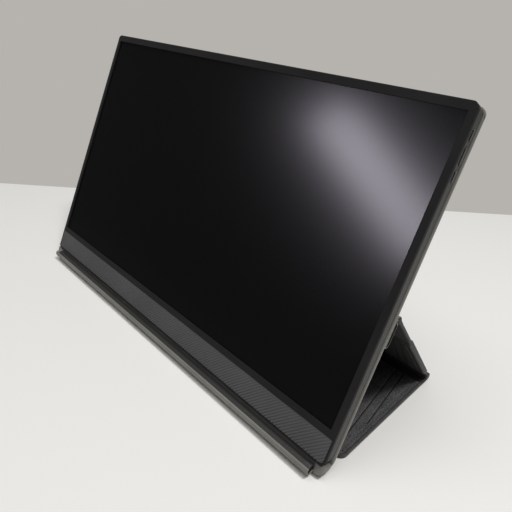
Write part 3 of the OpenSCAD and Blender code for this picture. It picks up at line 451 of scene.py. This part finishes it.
def backLoop():
    b, c = backSet, cover
    dIn, dOut = c["monitorT"], c["monitorT"] + c["backT"]
    low, top, e = c["heelLow"], c["top"], b["edgeR"]
    pts = [(dIn, b["spineTop"])]
    pts += line(dIn, b["spineTop"], b["spineFront"], b["spineTop"], 4)
    pts += [(b["spineFront"], b["spineTop"])]
    pts += line(b["spineFront"], b["spineTop"], b["spineFront"], -4.6, 4)
    pts += [(b["spineFront"], -4.6), (b["spineFront"] + 0.2, -5.9), (b["spineFront"], -7.1)]
    pts += arc(b["spineFront"] + 0.8, low + 0.8, 0.8, 180, 270, 4)
    pts += line(b["spineFront"] + 0.8, low, dOut - e, low, 6)
    pts += arc(dOut - e, low + e, e, 270, 360, 6)
    pts += line(dOut, low + e, dOut, top - e, 70)
    pts += arc(dOut - e, top - e, e, 0, 90, 6)
    pts += line(dOut - e, top, dIn + 0.3, top, 2)
    pts += arc(dIn + 0.3, top - 0.3, 0.3, 90, 180, 3)
    pts += line(dIn, top - 0.3, dIn, b["spineTop"], 40)
    return pts


def backRelief(x, h):  # on the outside of the back panel
    b = backSet
    e = min(cover["halfW"] - abs(x), cover["top"] - h, h - cover["heelLow"])
    lift = b["padRise"] * smooth(5.5, 14, e) + b["wave"] * crinkle(x, h, 3.1, 0.3) * smooth(6, 20, e)
    return lift - groove(e, b["stitchInset"], b["seamDeep"], b["seamHalf"])


def heelRadius(d):  # the heel's corner is tighter at the front than on the back panel
    return backSet["frontHeelR"] + (cover["heelR"] - backSet["frontHeelR"]) * smooth(8.5, 14.5, d)


section = backLoop()
normals = outward(section)
rows = []
inner = [1.5, 2.0, 2.6, 3.3, 4.0, 4.4, 4.7, 5.0, 5.3, 5.6, 6.0, 7.0, 7.6, 8.2, 9.0, 9.5, 11.7, 12.3, 13.0, 14.0]
inner += [15, 17, 19.5, 22, 26, 32, 40, 50, 62, 76, 92, 110, 130, 152, 176, 195]
spineCount = next(k for k, (d, h) in enumerate(section) if k and d > cover["monitorT"])
for x in crossStations(cover["halfW"], backSet["sideR"], 0, inner):
    b = backSet
    inset = endInset(cover["halfW"], x, b["sideR"])
    high = cornerInset(cover["halfW"], x, cover["topR"])
    # the heel's bare ends swell forward past the lip
    swell = smooth(b["swellFrom"], b["swellFull"], -x) + b["swellRight"] * smooth(b["swellFrom"], b["swellFull"], x)
    row = []
    edgeLow = cover["heelLow"] + inset
    edgeLow += cornerInset(cover["halfW"], x, heelRadius(cover["monitorT"])) * (4 - edgeLow) / 12
    for k, ((d, h), (nd, nh)) in enumerate(zip(section, normals)):
        # where the heel's curve leaves the spine no height, it ends on the panel
        if k < spineCount and edgeLow > -1.2:
            row.append(monitorPoint(x, cover["monitorT"], edgeLow + 0.05 + 0.04 * (spineCount - 1 - k)))
            continue
        low = cornerInset(cover["halfW"], x, heelRadius(d))
        bulge = swell * min(1, max(0, (cover["monitorT"] - d) / 8))
        grow = backRelief(x, h) - inset if nd > 0.9 else -inset
        skinH = h + nh * grow
        shift = low * min(1, max(0, (4 - skinH) / 12)) - high * min(1, max(0, (skinH - 242) / 7.7))
        if h <= b["spineTop"] + 0.01 and d < cover["monitorT"] + 0.01:
            underSpine = d < cover["monitorT"] - 0.01 and h < -1
            shift = min(shift, b["spineTop"] - b["endThick"] - skinH) if underSpine else 0
        skinD = d + nd * grow - b["swellOut"] * bulge * smooth(-0.5, -1.5, h)
        row.append(monitorPoint(x, skinD, skinH + shift - b["swellDown"] * bulge * smooth(-3, -8, h)))
    rows.append(row)
verts, faces = loft(rows)
# edges and ends take the light grey edge coat, which is partly painted reflection of the table
pick = edgePick(normals, len(rows), lambda n: n[0] > 0.8)
# the heel faces take the pale grey: painted reflection of the table
onHeel = [d < cover["monitorT"] + 0.5 and h < -0.3 for d, h in section]
for i in range((len(rows) - 1) * len(section)):
    k = i % len(section)
    if onHeel[k] and onHeel[(k + 1) % len(section)]:
        pick[i] = 2
backLeather = meshPiece("backLeather", verts, faces, outerLeather, "monitor",
                        (edgeCoatAndReflection, paleReflectionPaint), pick)
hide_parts("back_skin", "spine_skin")
print("back panel and spine done")

# lip under the chin: near-black on top with painted shade from the chin, pale grey beneath as painted reflection of
# the table, and pale on its left end as painted light
lipSet = {"d": -0.8, "h": -5.9, "r": 3.9, "left": -193.2, "right": 193.2, "darkFrom": -188.4, "seamDeg": 205,
          "seamDeep": 0.16, "seamHalfDeg": 5, "wave": 0.05, "reflectPaintFrom": 161, "reflectPaintTo": 330, "paleSwell": 0.7,
          "steps": 40}
lipEnd = ((0.5, 1.0), (0.02, 0.85), (0.0, 0.5), (0.12, 0.15), (0.5, 0))  # in from the end, in from the roll's skin
rows = []
for x, r in ([(lipSet["left"] + e, lipSet["r"] - k) for e, k in lipEnd]
             + [(lipSet["darkFrom"], lipSet["r"])] + [(x * 6.0, lipSet["r"]) for x in range(-31, 32)]
             + [(lipSet["right"] - e, lipSet["r"] - k) for e, k in reversed(lipEnd)]):
    row = []
    for k in range(lipSet["steps"]):
        turn = 360 * k / lipSet["steps"]
        a = math.radians(turn)
        out = r + lipSet["paleSwell"] * smooth(158, 166, turn) * smooth(320, 260, turn)
        if r == lipSet["r"]:
            out += min(lipSet["wave"] * crinkle(x, k * 1.2, 8.2, 0.5), 0)
            out -= groove(turn, lipSet["seamDeg"], lipSet["seamDeep"], lipSet["seamHalfDeg"])
        row.append(monitorPoint(x, lipSet["d"] + out * math.cos(a), lipSet["h"] + out * math.sin(a)))
    rows.append(row)
verts, faces = loft(rows)
steps = lipSet["steps"]
# faces between these angles, and the rows at the left end, take the pale grey: painted reflection and painted light
pale = [lipSet["reflectPaintFrom"] <= 360 * (k + 0.5) / steps <= lipSet["reflectPaintTo"] for k in range(steps)]
pick = [2 if pale[i % steps] or i < len(lipEnd) * steps else 0 for i in range(len(faces) - 2)] + [2, 1]
lipLeather = meshPiece("lipLeather", verts, faces, rollLeather, "monitor",
                       (edgePaintAndCreaseShade, paleReflectionPaint), pick)
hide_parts("lip_roll")

# tab on the back panel
tabSet = {"d0": 14.5, "t": 5.0, "low": 88.7, "high": 110.3, "roundR": 3.4, "foldD": 19.6, "foldH": 109.4,
          "hollowR": 2.8, "rim": 0.9, "sink": 0.7, "seamUp": 4.2, "seamDeep": 0.2, "wave": 0.04}


def tabLoop():
    t = tabSet
    d1 = t["d0"] + t["t"]
    pts = arc(t["d0"] + 0.5, t["low"] + 0.5, 0.5, 180, 270, 3)
    pts += arc(d1 - t["roundR"], t["low"] + t["roundR"], t["roundR"], 270, 360, 8)
    pts += line(d1, t["low"] + t["roundR"], d1, 106.6, 9)
    pts += arc(t["foldD"], t["foldH"], t["hollowR"], 267, 180, 8)
    pts += [(t["foldD"] - t["hollowR"] + 0.25, t["high"] - 0.4)]
    pts += [(t["foldD"] - t["hollowR"] - 0.1, t["high"]), (t["d0"] + 0.5, t["high"])]
    pts += arc(t["d0"] + 0.3, t["high"] - 0.3, 0.3, 90, 180, 2)
    pts += line(t["d0"], t["high"] - 0.3, t["d0"], t["low"] + 0.5, 9)
    return pts


section = tabLoop()
normals = outward(section)
rows = []
half = cover["halfW"]
ends = [(tabSet["sink"], tabSet["rim"] + 0.05), (0.03, tabSet["rim"] - 0.05), (0.0, 0.55), (0.12, 0.2), (0.45, 0.0)]
nearEnd = (3, 6, 10, 16, 24)
stations = [(e - half, k) for e, k in ends] + [(v - half, 0.0) for v in nearEnd]
stations += [(x, 0.0) for x in range(-170, 171, 10)] + [(half - v, 0.0) for v in reversed(nearEnd)]
stations += [(half - e, k) for e, k in reversed(ends)]
for x, k in stations:
    row = []
    for (d, h), (nd, nh) in zip(section, normals):
        grow = -k
        if k == 0 and nd > 0.9:
            grow += tabSet["wave"] * crinkle(x, h, 5.5, 0.4)
            grow -= groove(h, tabSet["low"] + tabSet["seamUp"], tabSet["seamDeep"], 0.5)
        row.append(monitorPoint(x, d + nd * grow, h + nh * grow))
    rows.append(row)
verts, faces = loft(rows)
# the tab's rim takes the light grey edge coat (partly painted reflection); its cut ends take the dark edge paint
pick = edgePick(normals, len(rows), lambda n: n[0] > 0.8, 5)[:-2] + [2, 2]
for i in range(len(section)):  # cut edges, painted
    pick[i] = 2
    pick[(len(rows) - 2) * len(section) + i] = 2
tabLeather = meshPiece("tabLeather", verts, faces, outerLeather, "monitor",
                       (edgeCoatAndReflection, edgePaintAndCreaseShade), pick)
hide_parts("tab_skin")
print("lip and tab done")

# strut
strutSet = {"length": 137.5, "softEnd": 44.0, "boardStart": 47.0, "boardEnd": 123.5, "bandEnd": 133.6,
            "softHalf": 1.4, "boardHalf": 2.45, "bandHalf": 0.9, "rollR": 2.5, "sideR": 0.85, "stitchInset": 4.5,
            "seamDeep": 0.26, "seamHalf": 0.55, "creaseTop": 16.0, "creaseRear": 25.6, "channel": 7.5,
            "wave": 0.07, "ripple": 0.16, "bed": 0.5, "faceGap": 1.6}


def strutHalf(s):
    q = strutSet
    v = q["softHalf"] + (q["boardHalf"] - q["softHalf"]) * smooth(q["softEnd"] - 0.6, q["boardStart"] + 0.4, s)
    return v + (q["bandHalf"] - q["boardHalf"]) * smooth(q["boardEnd"] - 0.6, q["boardEnd"] + 2.2, s)


def strutLoop():
    q = strutSet
    spots = [5.5, 8, 11, 14, 17, 20, 23, 26, 29, 32, 35, 38, 40, 42, 43, 44, 45, 46, 47, 48, 49.5]
    spots += [49.5 + i * 3 for i in range(1, 24)] + [121, 122, 123, 124, 125, 126, 127, 129, 131, 132.8]
    upper = [(s, strutHalf(s)) for s in spots]
    pts = arc(0, 0, q["rollR"], 62, 298, 18)
    pts += [(3.2, -1.62)] + [(s, -n) for s, n in upper]
    pts += arc(q["bandEnd"] - 0.8, 0, 0.88, -80, 80, 6)
    pts += list(reversed(upper)) + [(3.2, 1.62)]
    return pts


def strutInset(s):  # how far the slanted crease lies from the side of the cover
    q = strutSet
    along = (s - q["boardStart"]) / (q["length"] - q["boardStart"])
    return q["creaseTop"] + (q["creaseRear"] - q["creaseTop"]) * along


def strutRelief(x, s, facing):
    q = strutSet
    e = cover["halfW"] - abs(x)
    v = q["wave"] * crinkle(x, s, 1.7 if facing > 0 else 6.3, 0.5)
    ripple = math.sin(s * 1.15 + 2.2 * noise.noise(Vector((x / 26, s / 30, 2))))  # cross folds of the soft part
    v += q["ripple"] * ripple * smooth(4, 12, s) * (1 - smooth(30, 43, s)) * (0.35 if facing > 0 else 1)
    if facing > 0:
        seam = min(e, abs(s - q["boardStart"] - 4.5) + 4.5, abs(q["boardEnd"] - 4.5 - s) + 4.5)
    else:
        seam = e
    return v - groove(seam, q["stitchInset"], q["seamDeep"], q["seamHalf"]) * smooth(8, 12, s)


section = strutLoop()
normals = outward(section)
inner = [3.2, 3.9, 4.2, 4.5, 4.8, 5.1, 5.8, 7, 9, 11.5, 14, 17, 20, 24, 29, 35, 42, 50, 60, 72, 86, 102, 120]
inner += [140, 160, 180, 196]
rows = []
for x in crossStations(cover["halfW"], strutSet["sideR"], 0, inner):
    inset = endInset(cover["halfW"], x, strutSet["sideR"])
    row = []
    for (s, n), (ns, nn) in zip(section, normals):
        grow = -inset
        if abs(nn) > 0.85 and inset == 0 and s > 3:
            grow += strutRelief(x, s, nn)
        onBoard = strutSet["boardStart"] + 1.2 < s < strutSet["boardEnd"] - 1.2 and cover["halfW"] - abs(x) > 2.2
        if inset == 0 and nn < -0.85 and onBoard:
            grow = -strutSet["bed"]  # bed for the inner face
        row.append(strutPoint(x, s + ns * grow, n + nn * grow))
    rows.append(row)
verts, faces = loft(rows)
strutLeather = meshPiece("strutLeather", verts, faces, foldLeather, "strut")
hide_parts("strut_skin", "upper_fold")


# inner faces with their slanted channels
# the columns in each crease take the dark paint: painted shade in the creases
faceSet = {"depth": 0.5, "edgeR": 0.35, "edgeDrop": 1.2, "creaseDeep": 0.45, "creaseHalf": 0.45,
           "channelDeep": 0.22, "seamInset": 3.15, "seamDeep": 0.2, "seamHalf": 0.4, "wave": 0.05,
           "outShadeColumns": (11, 12), "inShadeColumns": (19, 20)}  # the columns in each crease


def facePlate(name, along, sideAt, creaseIn, creaseOut, top, place, body, replaced, leather, seed, fadeAt=None):
    # columns follow the creases; each row crosses from one side to the other
    f = faceSet
    grid, liveAt = [], []
    first, last = along[0], along[-1]
    for s in along:
        side, a, b = sideAt(s), creaseIn(s), creaseOut(s)
        live = 1.0 if fadeAt is None else smooth(fadeAt + 3, fadeAt - 3, s)  # the outer crease dies out there
        cols = [side, side + 0.12, side + 0.5, side + 1.2, side + 2.2]
        around = [side + k for k in (2.9, 3.15, 3.4, 3.9)] + [b + k for k in (-1.6, -0.8, -0.35, 0, 0.35, 0.8, 1.8)]
        around += [(a + b) / 2] + [a + k for k in (-1.8, -0.8, -0.35, 0, 0.35, 0.8, 2)]
        for inset in around:
            cols.append(max(inset, cols[-1] + 0.12))
        rest = cover["halfW"] - cols[-1]
        cols += [cols[-1] + rest * part for part in (0.03, 0.08, 0.15, 0.25, 0.37, 0.5, 0.65, 0.82, 1.0)]
        half = []
        for inset in cols:
            edge = min(inset - side, s - first, last - s)
            drop = f["edgeR"] - math.sqrt(max(0, f["edgeR"] ** 2 - (f["edgeR"] - min(f["edgeR"], edge)) ** 2))
            channel = smooth(b - 0.5, b + 0.8, inset) * (1 - smooth(a - 0.8, a + 0.5, inset))
            border = min(inset - side, s - first + 0.4, last - s + 0.4)
            v = f["wave"] * crinkle(inset * 3, s, seed, 0.5) - f["channelDeep"] * channel * live
            v -= groove(inset, a, f["creaseDeep"], f["creaseHalf"])
            v -= groove(inset, b, f["creaseDeep"], f["creaseHalf"]) * live
            v -= groove(border, f["seamInset"], f["seamDeep"], f["seamHalf"])
            half.append((cover["halfW"] - inset, v - drop * f["edgeDrop"]))
        grid.append([(x, s, v) for x, v in half] + [(-x, s, v) for x, v in reversed(half[:-1])])
        liveAt.append(live)
    count, total = len(grid[0]), len(grid)
    verts = [place(x, s, top + v) for row in grid for x, s, v in row]
    under = len(verts)
    verts += [place(x, s, top - f["depth"]) for row in grid for x, s, v in row]
    faces, pick = [], []
    for i in range(total - 1):
        for k in range(count - 1):
            q = i * count + k
            column = min(k, count - 2 - k)
            # crease columns get the dark paint as painted shade
            creased = column in f["inShadeColumns"] or (column in f["outShadeColumns"] and liveAt[i] > 0.5)
            pick += [1 if creased else 0, 0]
            faces.append((q, q + 1, q + 1 + count, q + count))
            faces.append((under + q, under + q + count, under + q + 1 + count, under + q + 1))
    ring = list(range(count)) + [i * count + count - 1 for i in range(1, total)]
    ring += [(total - 1) * count + k for k in range(count - 2, -1, -1)]
    ring += [i * count for i in range(total - 2, 0, -1)]
    for i, q in enumerate(ring):
        r = ring[(i + 1) % len(ring)]
        faces.append((q, under + q, under + r, r))
        pick.append(0)
    obj = meshPiece(name, verts, faces, leather, body, (edgePaintAndCreaseShade,), pick)
    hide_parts(replaced)
    return obj


q = strutSet
along = [47.8, 47.95, 48.3, 49, 50, 50.6, 50.9, 51.2, 52] + [52 + i * 2.5 for i in range(1, 27)]
along += [119.4, 119.7, 120, 120.6, 121.5, 122.3, 122.6, 122.75]
# the strut's inner face uses the near-black copy of the inner leather: painted shade
facePlate("strutInnerFace", along, lambda s: q["faceGap"], strutInset, lambda s: strutInset(s) - q["channel"],
          q["boardHalf"], lambda x, s, v: strutPoint(x, s, -v), "strut", "strut_lining", shadedPocketLeather, 2.4)

# base
baseSet = {"length": 128.0, "t": 4.2, "bandT": 1.8, "rollR": 3.4, "frontR": 7.0, "sideR": 1.2,
           "creaseRear": 26.0, "creaseFront": 7.8, "channel": 7.5, "stop": 6.2, "edgeR": 1.2,
           "faceGap": 1.6, "faceEnd": 126.4, "bed": 0.5, "wave": 0.06}


def baseLoop():  # forward of the rear fold, height
    q = baseSet
    lowR = 0.9
    pts = [(t, 0.0) for t in [2, 6, 10, 14] + [14 + i * 4 for i in range(1, 28)]]
    pts += arc(q["length"] - lowR, lowR, lowR, 270, 360, 4)
    pts += arc(q["length"] - q["edgeR"], q["t"] - q["edgeR"], q["edgeR"], 0, 90, 5)
    pts += [(t, q["t"]) for t in [126, 125] + [124 - i * 2.5 for i in range(44)] + [13.4]]
    pts += [(12.6, q["t"] - 0.25), (12.1, q["t"] - 1.0), (11.6, 2.1), (10.8, q["bandT"]), (8, q["bandT"]),
            (5.5, q["bandT"]), (3.9, 2.0)]
    pts += arc(0, q["rollR"], q["rollR"], -22, 262, 26)
    return pts


def baseInset(t):
    q = baseSet
    return q["creaseRear"] + (q["creaseFront"] - q["creaseRear"]) * t / q["length"]


section = baseLoop()
normals = outward(section)
rows = []
inner = [2.6, 3.4, 4.2, 5, 6, 7.5, 9, 12, 15, 19, 24, 30, 38, 48, 60, 74, 90, 108, 128, 150, 172, 194]
for x in crossStations(cover["halfW"], baseSet["sideR"], baseSet["frontR"], inner):
    inset = min(endInset(cover["halfW"], x, baseSet["sideR"]), 1.1)
    front = cornerInset(cover["halfW"], x, baseSet["frontR"])
    row = []
    for (t, z), (nt, nz) in zip(section, normals):
        thin = inset * (0.75 if t < 12.2 and t > 4 else 1.0)
        grow = -thin
        if inset == 0 and nz > 0.9 and 13.5 < t < baseSet["faceEnd"] and cover["halfW"] - abs(x) > 2.2:
            grow = -baseSet["bed"]
        elif inset == 0 and t < 12 and nz > -0.5:
            grow += baseSet["wave"] * crinkle(x, t * 2, 4.4, 0.5)
        shift = front * min(1, max(0, (t - 114) / 14))
        row.append(basePoint(x, t - shift + nt * grow, max(z + nz * grow, 0.0 if inset == 0 else 0.02)))
    rows.append(row)
verts, faces = loft(rows)
baseLeather = meshPiece("baseLeather", verts, faces, outerLeather, "base")
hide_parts("base_skin", "rear_fold")

q = baseSet
along = [13.8, 13.95, 14.3, 15, 16, 16.6, 16.9, 17.2, 18] + [18 + i * 2.5 for i in range(1, 42)]
along += [122.4, 122.7, 123.0, 123.5, 124.3, 125.2, 125.9, 126.15, 126.3]


def baseLimit(t):  # how far the face stays in from the side, rounded at the front corners
    r = baseSet["frontR"] - baseSet["faceGap"]
    e = baseSet["faceEnd"] - t
    return baseSet["faceGap"] + (0 if e >= r else (r - math.sqrt(max(0, r * r - (r - e) ** 2))) * 0.96)


reach = (q["creaseRear"] - q["channel"] - q["stop"]) * q["length"] / (q["creaseRear"] - q["creaseFront"])
facePlate("baseInnerFace", along, baseLimit, baseInset, lambda t: max(baseInset(t) - q["channel"], q["stop"]),
          q["t"], basePoint, "base", "base_lining", innerLeather, 7.9, reach)
print("strut and base done")

# leather that bends over both folds
webSet = {"thick": 0.8, "halfW": 200.3, "edgeR": 0.35, "upperR": 2.56, "rearR": 3.44, "rearUnderR": 3.42,
          "rollR": 3.4}  # the radii clear the rolls that the leather bends over


def webSheet(middleLine, place, seed, underLine=None):
    # a sheet that follows a line of (a, b) points, thickness added on its outer side
    pts = [Vector(p) for p in middleLine]
    half, r = webSet["halfW"], webSet["edgeR"]
    rows = []
    for x in [-half, -half + 0.15, -half + 0.5] + list(range(-198, 199, 6)) + [half - 0.5, half - 0.15, half]:
        k = r - math.sqrt(max(0, r ** 2 - (r - min(half - abs(x), r)) ** 2))
        outer, lower = [], []
        for i, p in enumerate(pts):
            a, b = pts[max(0, i - 1)], pts[min(len(pts) - 1, i + 1)]
            t = (b - a).normalized()
            n = Vector((-t.y, t.x))
            end = min(i, len(pts) - 1 - i)
            thick = webSet["thick"] * min(1, 0.15 + end * 0.3)
            wave = 0.05 * noise.noise(Vector((x / 14, i * 0.7, seed))) * smooth(0, 4, end)
            outer.append(p + n * (thick - k * 0.8 + wave))
            if underLine:
                lower.append(Vector(underLine[i]) + n * k * 0.3)
            else:
                lower.append(p + n * min(0.02 + k * 0.3, thick * 0.5))
        rows.append([place(x, v.x, v.y) for v in outer + lower[::-1]])
    verts, faces = loft(rows)
    n, last = len(pts), (len(rows) - 1) * 2 * len(pts)
    ends = [(start + i, start + i + 1, start + 2 * n - 2 - i, start + 2 * n - 1 - i) for start in (0, last)
            for i in range(n - 1)]
    return verts, faces[:-2] + ends


def aroundRoll(cx, cy, r, turns):
    return [(cx + r * math.cos(math.radians(a)), cy + r * math.sin(math.radians(a))) for a in turns]


def toFace(p):  # a placed point back to depth and height on the monitor
    t = math.radians(lean["tiltDeg"])
    y, z = p.y / mm - lean["footY"], p.z / mm - lean["footZ"]
    return (y * math.cos(t) - z * math.sin(t), y * math.sin(t) + z * math.cos(t))


webLine = [(15.0, 110.42), (15.6, 110.95), (16.4, 111.2), (17.2, 111.4)]
webLine += aroundRoll(tabSet["foldD"], tabSet["foldH"], webSet["upperR"], range(122, 13, -12))
onStrut = ((1.2, 2.35), (2.6, 1.98), (4.0, 1.72), (5.6, 1.56), (7.4, 1.48), (9.4, 1.46))
webLine += [toFace(strutPoint(0, s, n)) for s, n in onStrut]
verts, faces = webSheet(webLine[::-1], monitorPoint, 1.0)
# the upper fold is all light grey edge coat, partly painted reflection of the table
upperWeb = meshPiece("upperFoldLeather", verts, faces, edgeCoatAndReflection, None)
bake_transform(upperWeb)

onStrut = [(123.0, 2.47), (124.4, 1.9), (126.2, 1.2), (128.2, 1.02), (130.2, 1.05), (132.2, 1.4), (134.0, 2.1)]
rearY = joints["base_fold"]["pos_m"][1] / mm
webLine = [strutPoint(0, s, n) / mm for s, n in onStrut]
underLine = [strutPoint(0, s, min(n, strutHalf(s) + 0.03)) / mm for s, n in onStrut]
turns = (*range(74, -47, -12), -56)
webLine = [(p.y, p.z) for p in webLine] + aroundRoll(rearY, webSet["rollR"], webSet["rearR"], turns)
underLine = [(p.y, p.z) for p in underLine] + aroundRoll(rearY, webSet["rollR"], webSet["rearUnderR"], turns)
verts, faces = webSheet(webLine[::-1], lambda x, y, z: Vector((x, y, z)) * mm, 5.0, underLine[::-1])
rearWeb = meshPiece("rearFoldLeather", verts, faces, outerLeather, None)
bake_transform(rearWeb)
print("fold leather done")


# linings between cover and monitor
def liningPlate(name, halfW, low, high, d0, d1, replaced):
    rows = []
    for x in [-halfW, -halfW + 0.2] + list(range(-190, 191, 10)) + [halfW - 0.2, halfW]:
        k = 0.2 if abs(x) >= halfW else 0.0
        rows.append([monitorPoint(x, d, h) for d, h in (
            [(d0 + k, low + 0.2), (d0 + 0.1, low)] + [(d1 - 0.1, low), (d1 - k, low + 0.2)]
            + [(d1 - k, low + (high - low) * f) for f in (0.25, 0.5, 0.75)]
            + [(d1 - k, high - 0.2), (d1 - 0.1, high), (d0 + 0.1, high), (d0 + k, high - 0.2)]
            + [(d0 + k, low + (high - low) * f) for f in (0.75, 0.5, 0.25)])])
    verts, faces = loft(rows)
    obj = meshPiece(name, verts, faces, liningCloth, "monitor")
    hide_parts(replaced)


liningPlate("backLining", 198.2, 1.6, 248.1, 11.02, 11.58, "back_lining")
liningPlate("spineLining", 197.4, -0.58, -0.02, 3.1, 10.9, "spine_lining")

# stitches
stitchSet = {"pitch": 4.2, "length": 3.0, "radius": 0.32, "heelR": 4.5, "frontR": 3.6,
             "shape": ((-1.0, 0.15, -0.35), (-0.75, 0.75, 0.0), (-0.3, 1.0, 0.25), (0.3, 1.0, 0.25),
                       (0.75, 0.75, 0.0), (1.0, 0.15, -0.35))}  # along, how thick, how high


def stitches(name, runs, body):
    verts, faces = [], []
    rng = random.Random(7)
    for run, normal in runs:
        left = 0.0
        for a, b in zip(run, run[1:]):
            seg = (b - a).length / mm
            direction = (b - a).normalized()
            side = direction.cross(normal).normalized()
            at = left
            while at + stitchSet["length"] <= seg:
                centre = a + direction * (at + stitchSet["length"] / 2 + rng.uniform(-0.1, 0.1)) * mm
                base = len(verts)
                for u, r, lift in stitchSet["shape"]:
                    for k in range(6):
                        w = k * math.pi / 3
                        verts.append(centre + direction * (u * stitchSet["length"] / 2 * mm)
                                     + (side * math.cos(w) + normal * math.sin(w)) * (r * stitchSet["radius"] * mm)
                                     + normal * (lift * stitchSet["radius"] * mm))
                for j in range(5):
                    for k in range(6):
                        here, beside = base + j * 6 + k, base + j * 6 + (k + 1) % 6
                        faces.append((here, beside, beside + 6, here + 6))
                faces.append(tuple(base + k for k in range(6)))
                faces.append(tuple(base + 30 + k for k in range(6)))
                at += stitchSet["pitch"]
            left = max(0.0, at - seg)
    return meshPiece(name, verts, faces, threadPoly, body, sharpDeg=60)


inset, r = backSet["stitchInset"], stitchSet["heelR"]
low, high, e = cover["heelLow"] + inset, cover["top"] - inset, cover["halfW"] - inset
dOut = cover["monitorT"] + cover["backT"]
corner = [(math.cos(math.radians(a)), math.sin(math.radians(a))) for a in range(0, 91, 15)]
ring = [(e - r + r * c, low + r - r * s) for c, s in corner][::-1]
ring += [(e, high)] + [(-e, high)] + [(-e + r - r * c, low + r - r * s) for c, s in corner]
loopPts = [monitorPoint(x, dOut - 0.02, h) for x, h in ring]
loopPts.append(loopPts[0])
back = (monitorPoint(0, 1, 0) - monitorPoint(0, 0, 0)).normalized()
tabRun = [monitorPoint(x, 19.5, tabSet["low"] + tabSet["seamUp"]) for x in (-197, 197)]
stitches("monitorSideStitches", [(loopPts, back), (tabRun, back)], "monitor")
out = (strutPoint(0, 0, 1) - strutPoint(0, 0, 0)).normalized()
e = cover["halfW"] - strutSet["stitchInset"]
ring = [(-e, 51.5), (e, 51.5), (e, 119.0), (-e, 119.0), (-e, 51.5)]
strutRuns = [([strutPoint(x, s, 2.4) for x, s in ring], out)]
e = cover["halfW"] - strutSet["faceGap"] - faceSet["seamInset"]
ring = [(-e, 50.55), (e, 50.55), (e, 120.0), (-e, 120.0), (-e, 50.55)]
strutRuns.append(([strutPoint(x, s, -2.42) for x, s in ring], -out))
stitches("strutStitches", strutRuns, "strut")
r = stitchSet["frontR"]
ring = [(e, 16.6), (e, 119.6)] + [(e - r + r * c, 119.6 + r * s) for c, s in corner]
ring += [(-e + r - r * c, 119.6 + r * s) for c, s in corner[::-1]] + [(-e, 119.6), (-e, 16.6), (e, 16.6)]
stitches("baseStitches", [([basePoint(x, t, 4.17) for x, t in ring], Vector((0, 0, 1)))], "base")
print("stitches done")

# table, light and surroundings
tableSet = {"wallA": (-481, -47), "wallB": (101, 573), "sideMm": 1500, "deepMm": 2600, "colour": "#efeeea"}
a, b = Vector(tableSet["wallA"]), Vector(tableSet["wallB"])
run = (b - a).normalized()
ahead = Vector((run.y, -run.x))
corners = [a - run * tableSet["sideMm"], b + run * tableSet["sideMm"]]
corners += [corners[1] + ahead * tableSet["deepMm"], corners[0] + ahead * tableSet["deepMm"]]
mesh = bpy.data.meshes.new("tableTop")
mesh.from_pydata([(c.x * mm, c.y * mm, 0) for c in corners], [], [(0, 3, 2, 1)])
table = bpy.data.objects.new("tableTop", mesh)
bpy.context.scene.collection.objects.link(table)
tableLaminate, shader, place = startMaterial("whiteMattLaminate", IOR=1.5, Roughness=0.65)
shader.inputs["Base Color"].default_value = toLinear(tableSet["colour"])
shader.inputs["Specular IOR Level"].default_value = 0.25
mesh.materials.append(tableLaminate)
table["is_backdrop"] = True

world = bpy.data.worlds.new("room")
bpy.context.scene.world = world
world.use_nodes = True
roomSet = {"diffuse": 0.18, "wall": "#b6b3ae"}
wash = world.node_tree.nodes["Background"]  # what lights the object from all round
wash.inputs["Color"].default_value = toLinear("#ffffff")
wash.inputs["Strength"].default_value = roomSet["diffuse"]
wall = addNode(world, "ShaderNodeBackground", Color=toLinear(roomSet["wall"]))  # what is seen and mirrored
rays = addNode(world, "ShaderNodeLightPath").outputs
seen = addNode(world, "ShaderNodeMath", {"operation": "MAXIMUM"}, i0=rays["Is Camera Ray"],
               i1=rays["Is Glossy Ray"])
seen = addNode(world, "ShaderNodeMath", {"operation": "MAXIMUM"}, i0=seen.outputs[0],
               i1=rays["Is Transmission Ray"])
both = addNode(world, "ShaderNodeMixShader", i0=seen.outputs[0], i1=wash.outputs[0], i2=wall.outputs[0])
world.node_tree.links.new(both.outputs[0], world.node_tree.nodes["World Output"].inputs["Surface"])


def softbox(name, place, target, sizeX, sizeY, watts, rollDeg=0.0):
    data = bpy.data.lights.new(name, "AREA")
    data.shape = "RECTANGLE"
    data.size, data.size_y, data.energy = sizeX, sizeY, watts
    obj = bpy.data.objects.new(name, data)
    obj.location = place
    aim = (Vector(target) - Vector(place)).to_track_quat("-Z", "Y")
    obj.rotation_euler = (aim @ Quaternion((0, 0, 1), math.radians(rollDeg))).to_euler()
    bpy.context.scene.collection.objects.link(obj)
    return obj


softbox("ceilingSpot", (0.75, 0.1, 1.9), (0.1, 0, 0.1), 0.3, 0.3, 18)
softbox("ceilingPanel", (0.1, -0.4, 1.9), (0, 0, 0.1), 2.0, 1.2, 17)
# the window across the room: too weak there to light the desk, so it reaches the screen film alone
window = softbox("windowStrip", (-0.71, -1.56, 0.90), (0.16, 0, 0.2), 0.85, 0.19, 66, rollDeg=-22)
window.data.color = (0.92, 0.87, 1.0)
window.visible_diffuse = False
glareOnly = bpy.data.collections.new("glareOnly")
glareOnly.objects.link(nodes["screen_film"])
window.light_linking.receiver_collection = glareOnly
print("table and lights done")

bpy.context.scene.view_settings.view_transform = "Standard"
bpy.context.view_layer.update()
low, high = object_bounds()
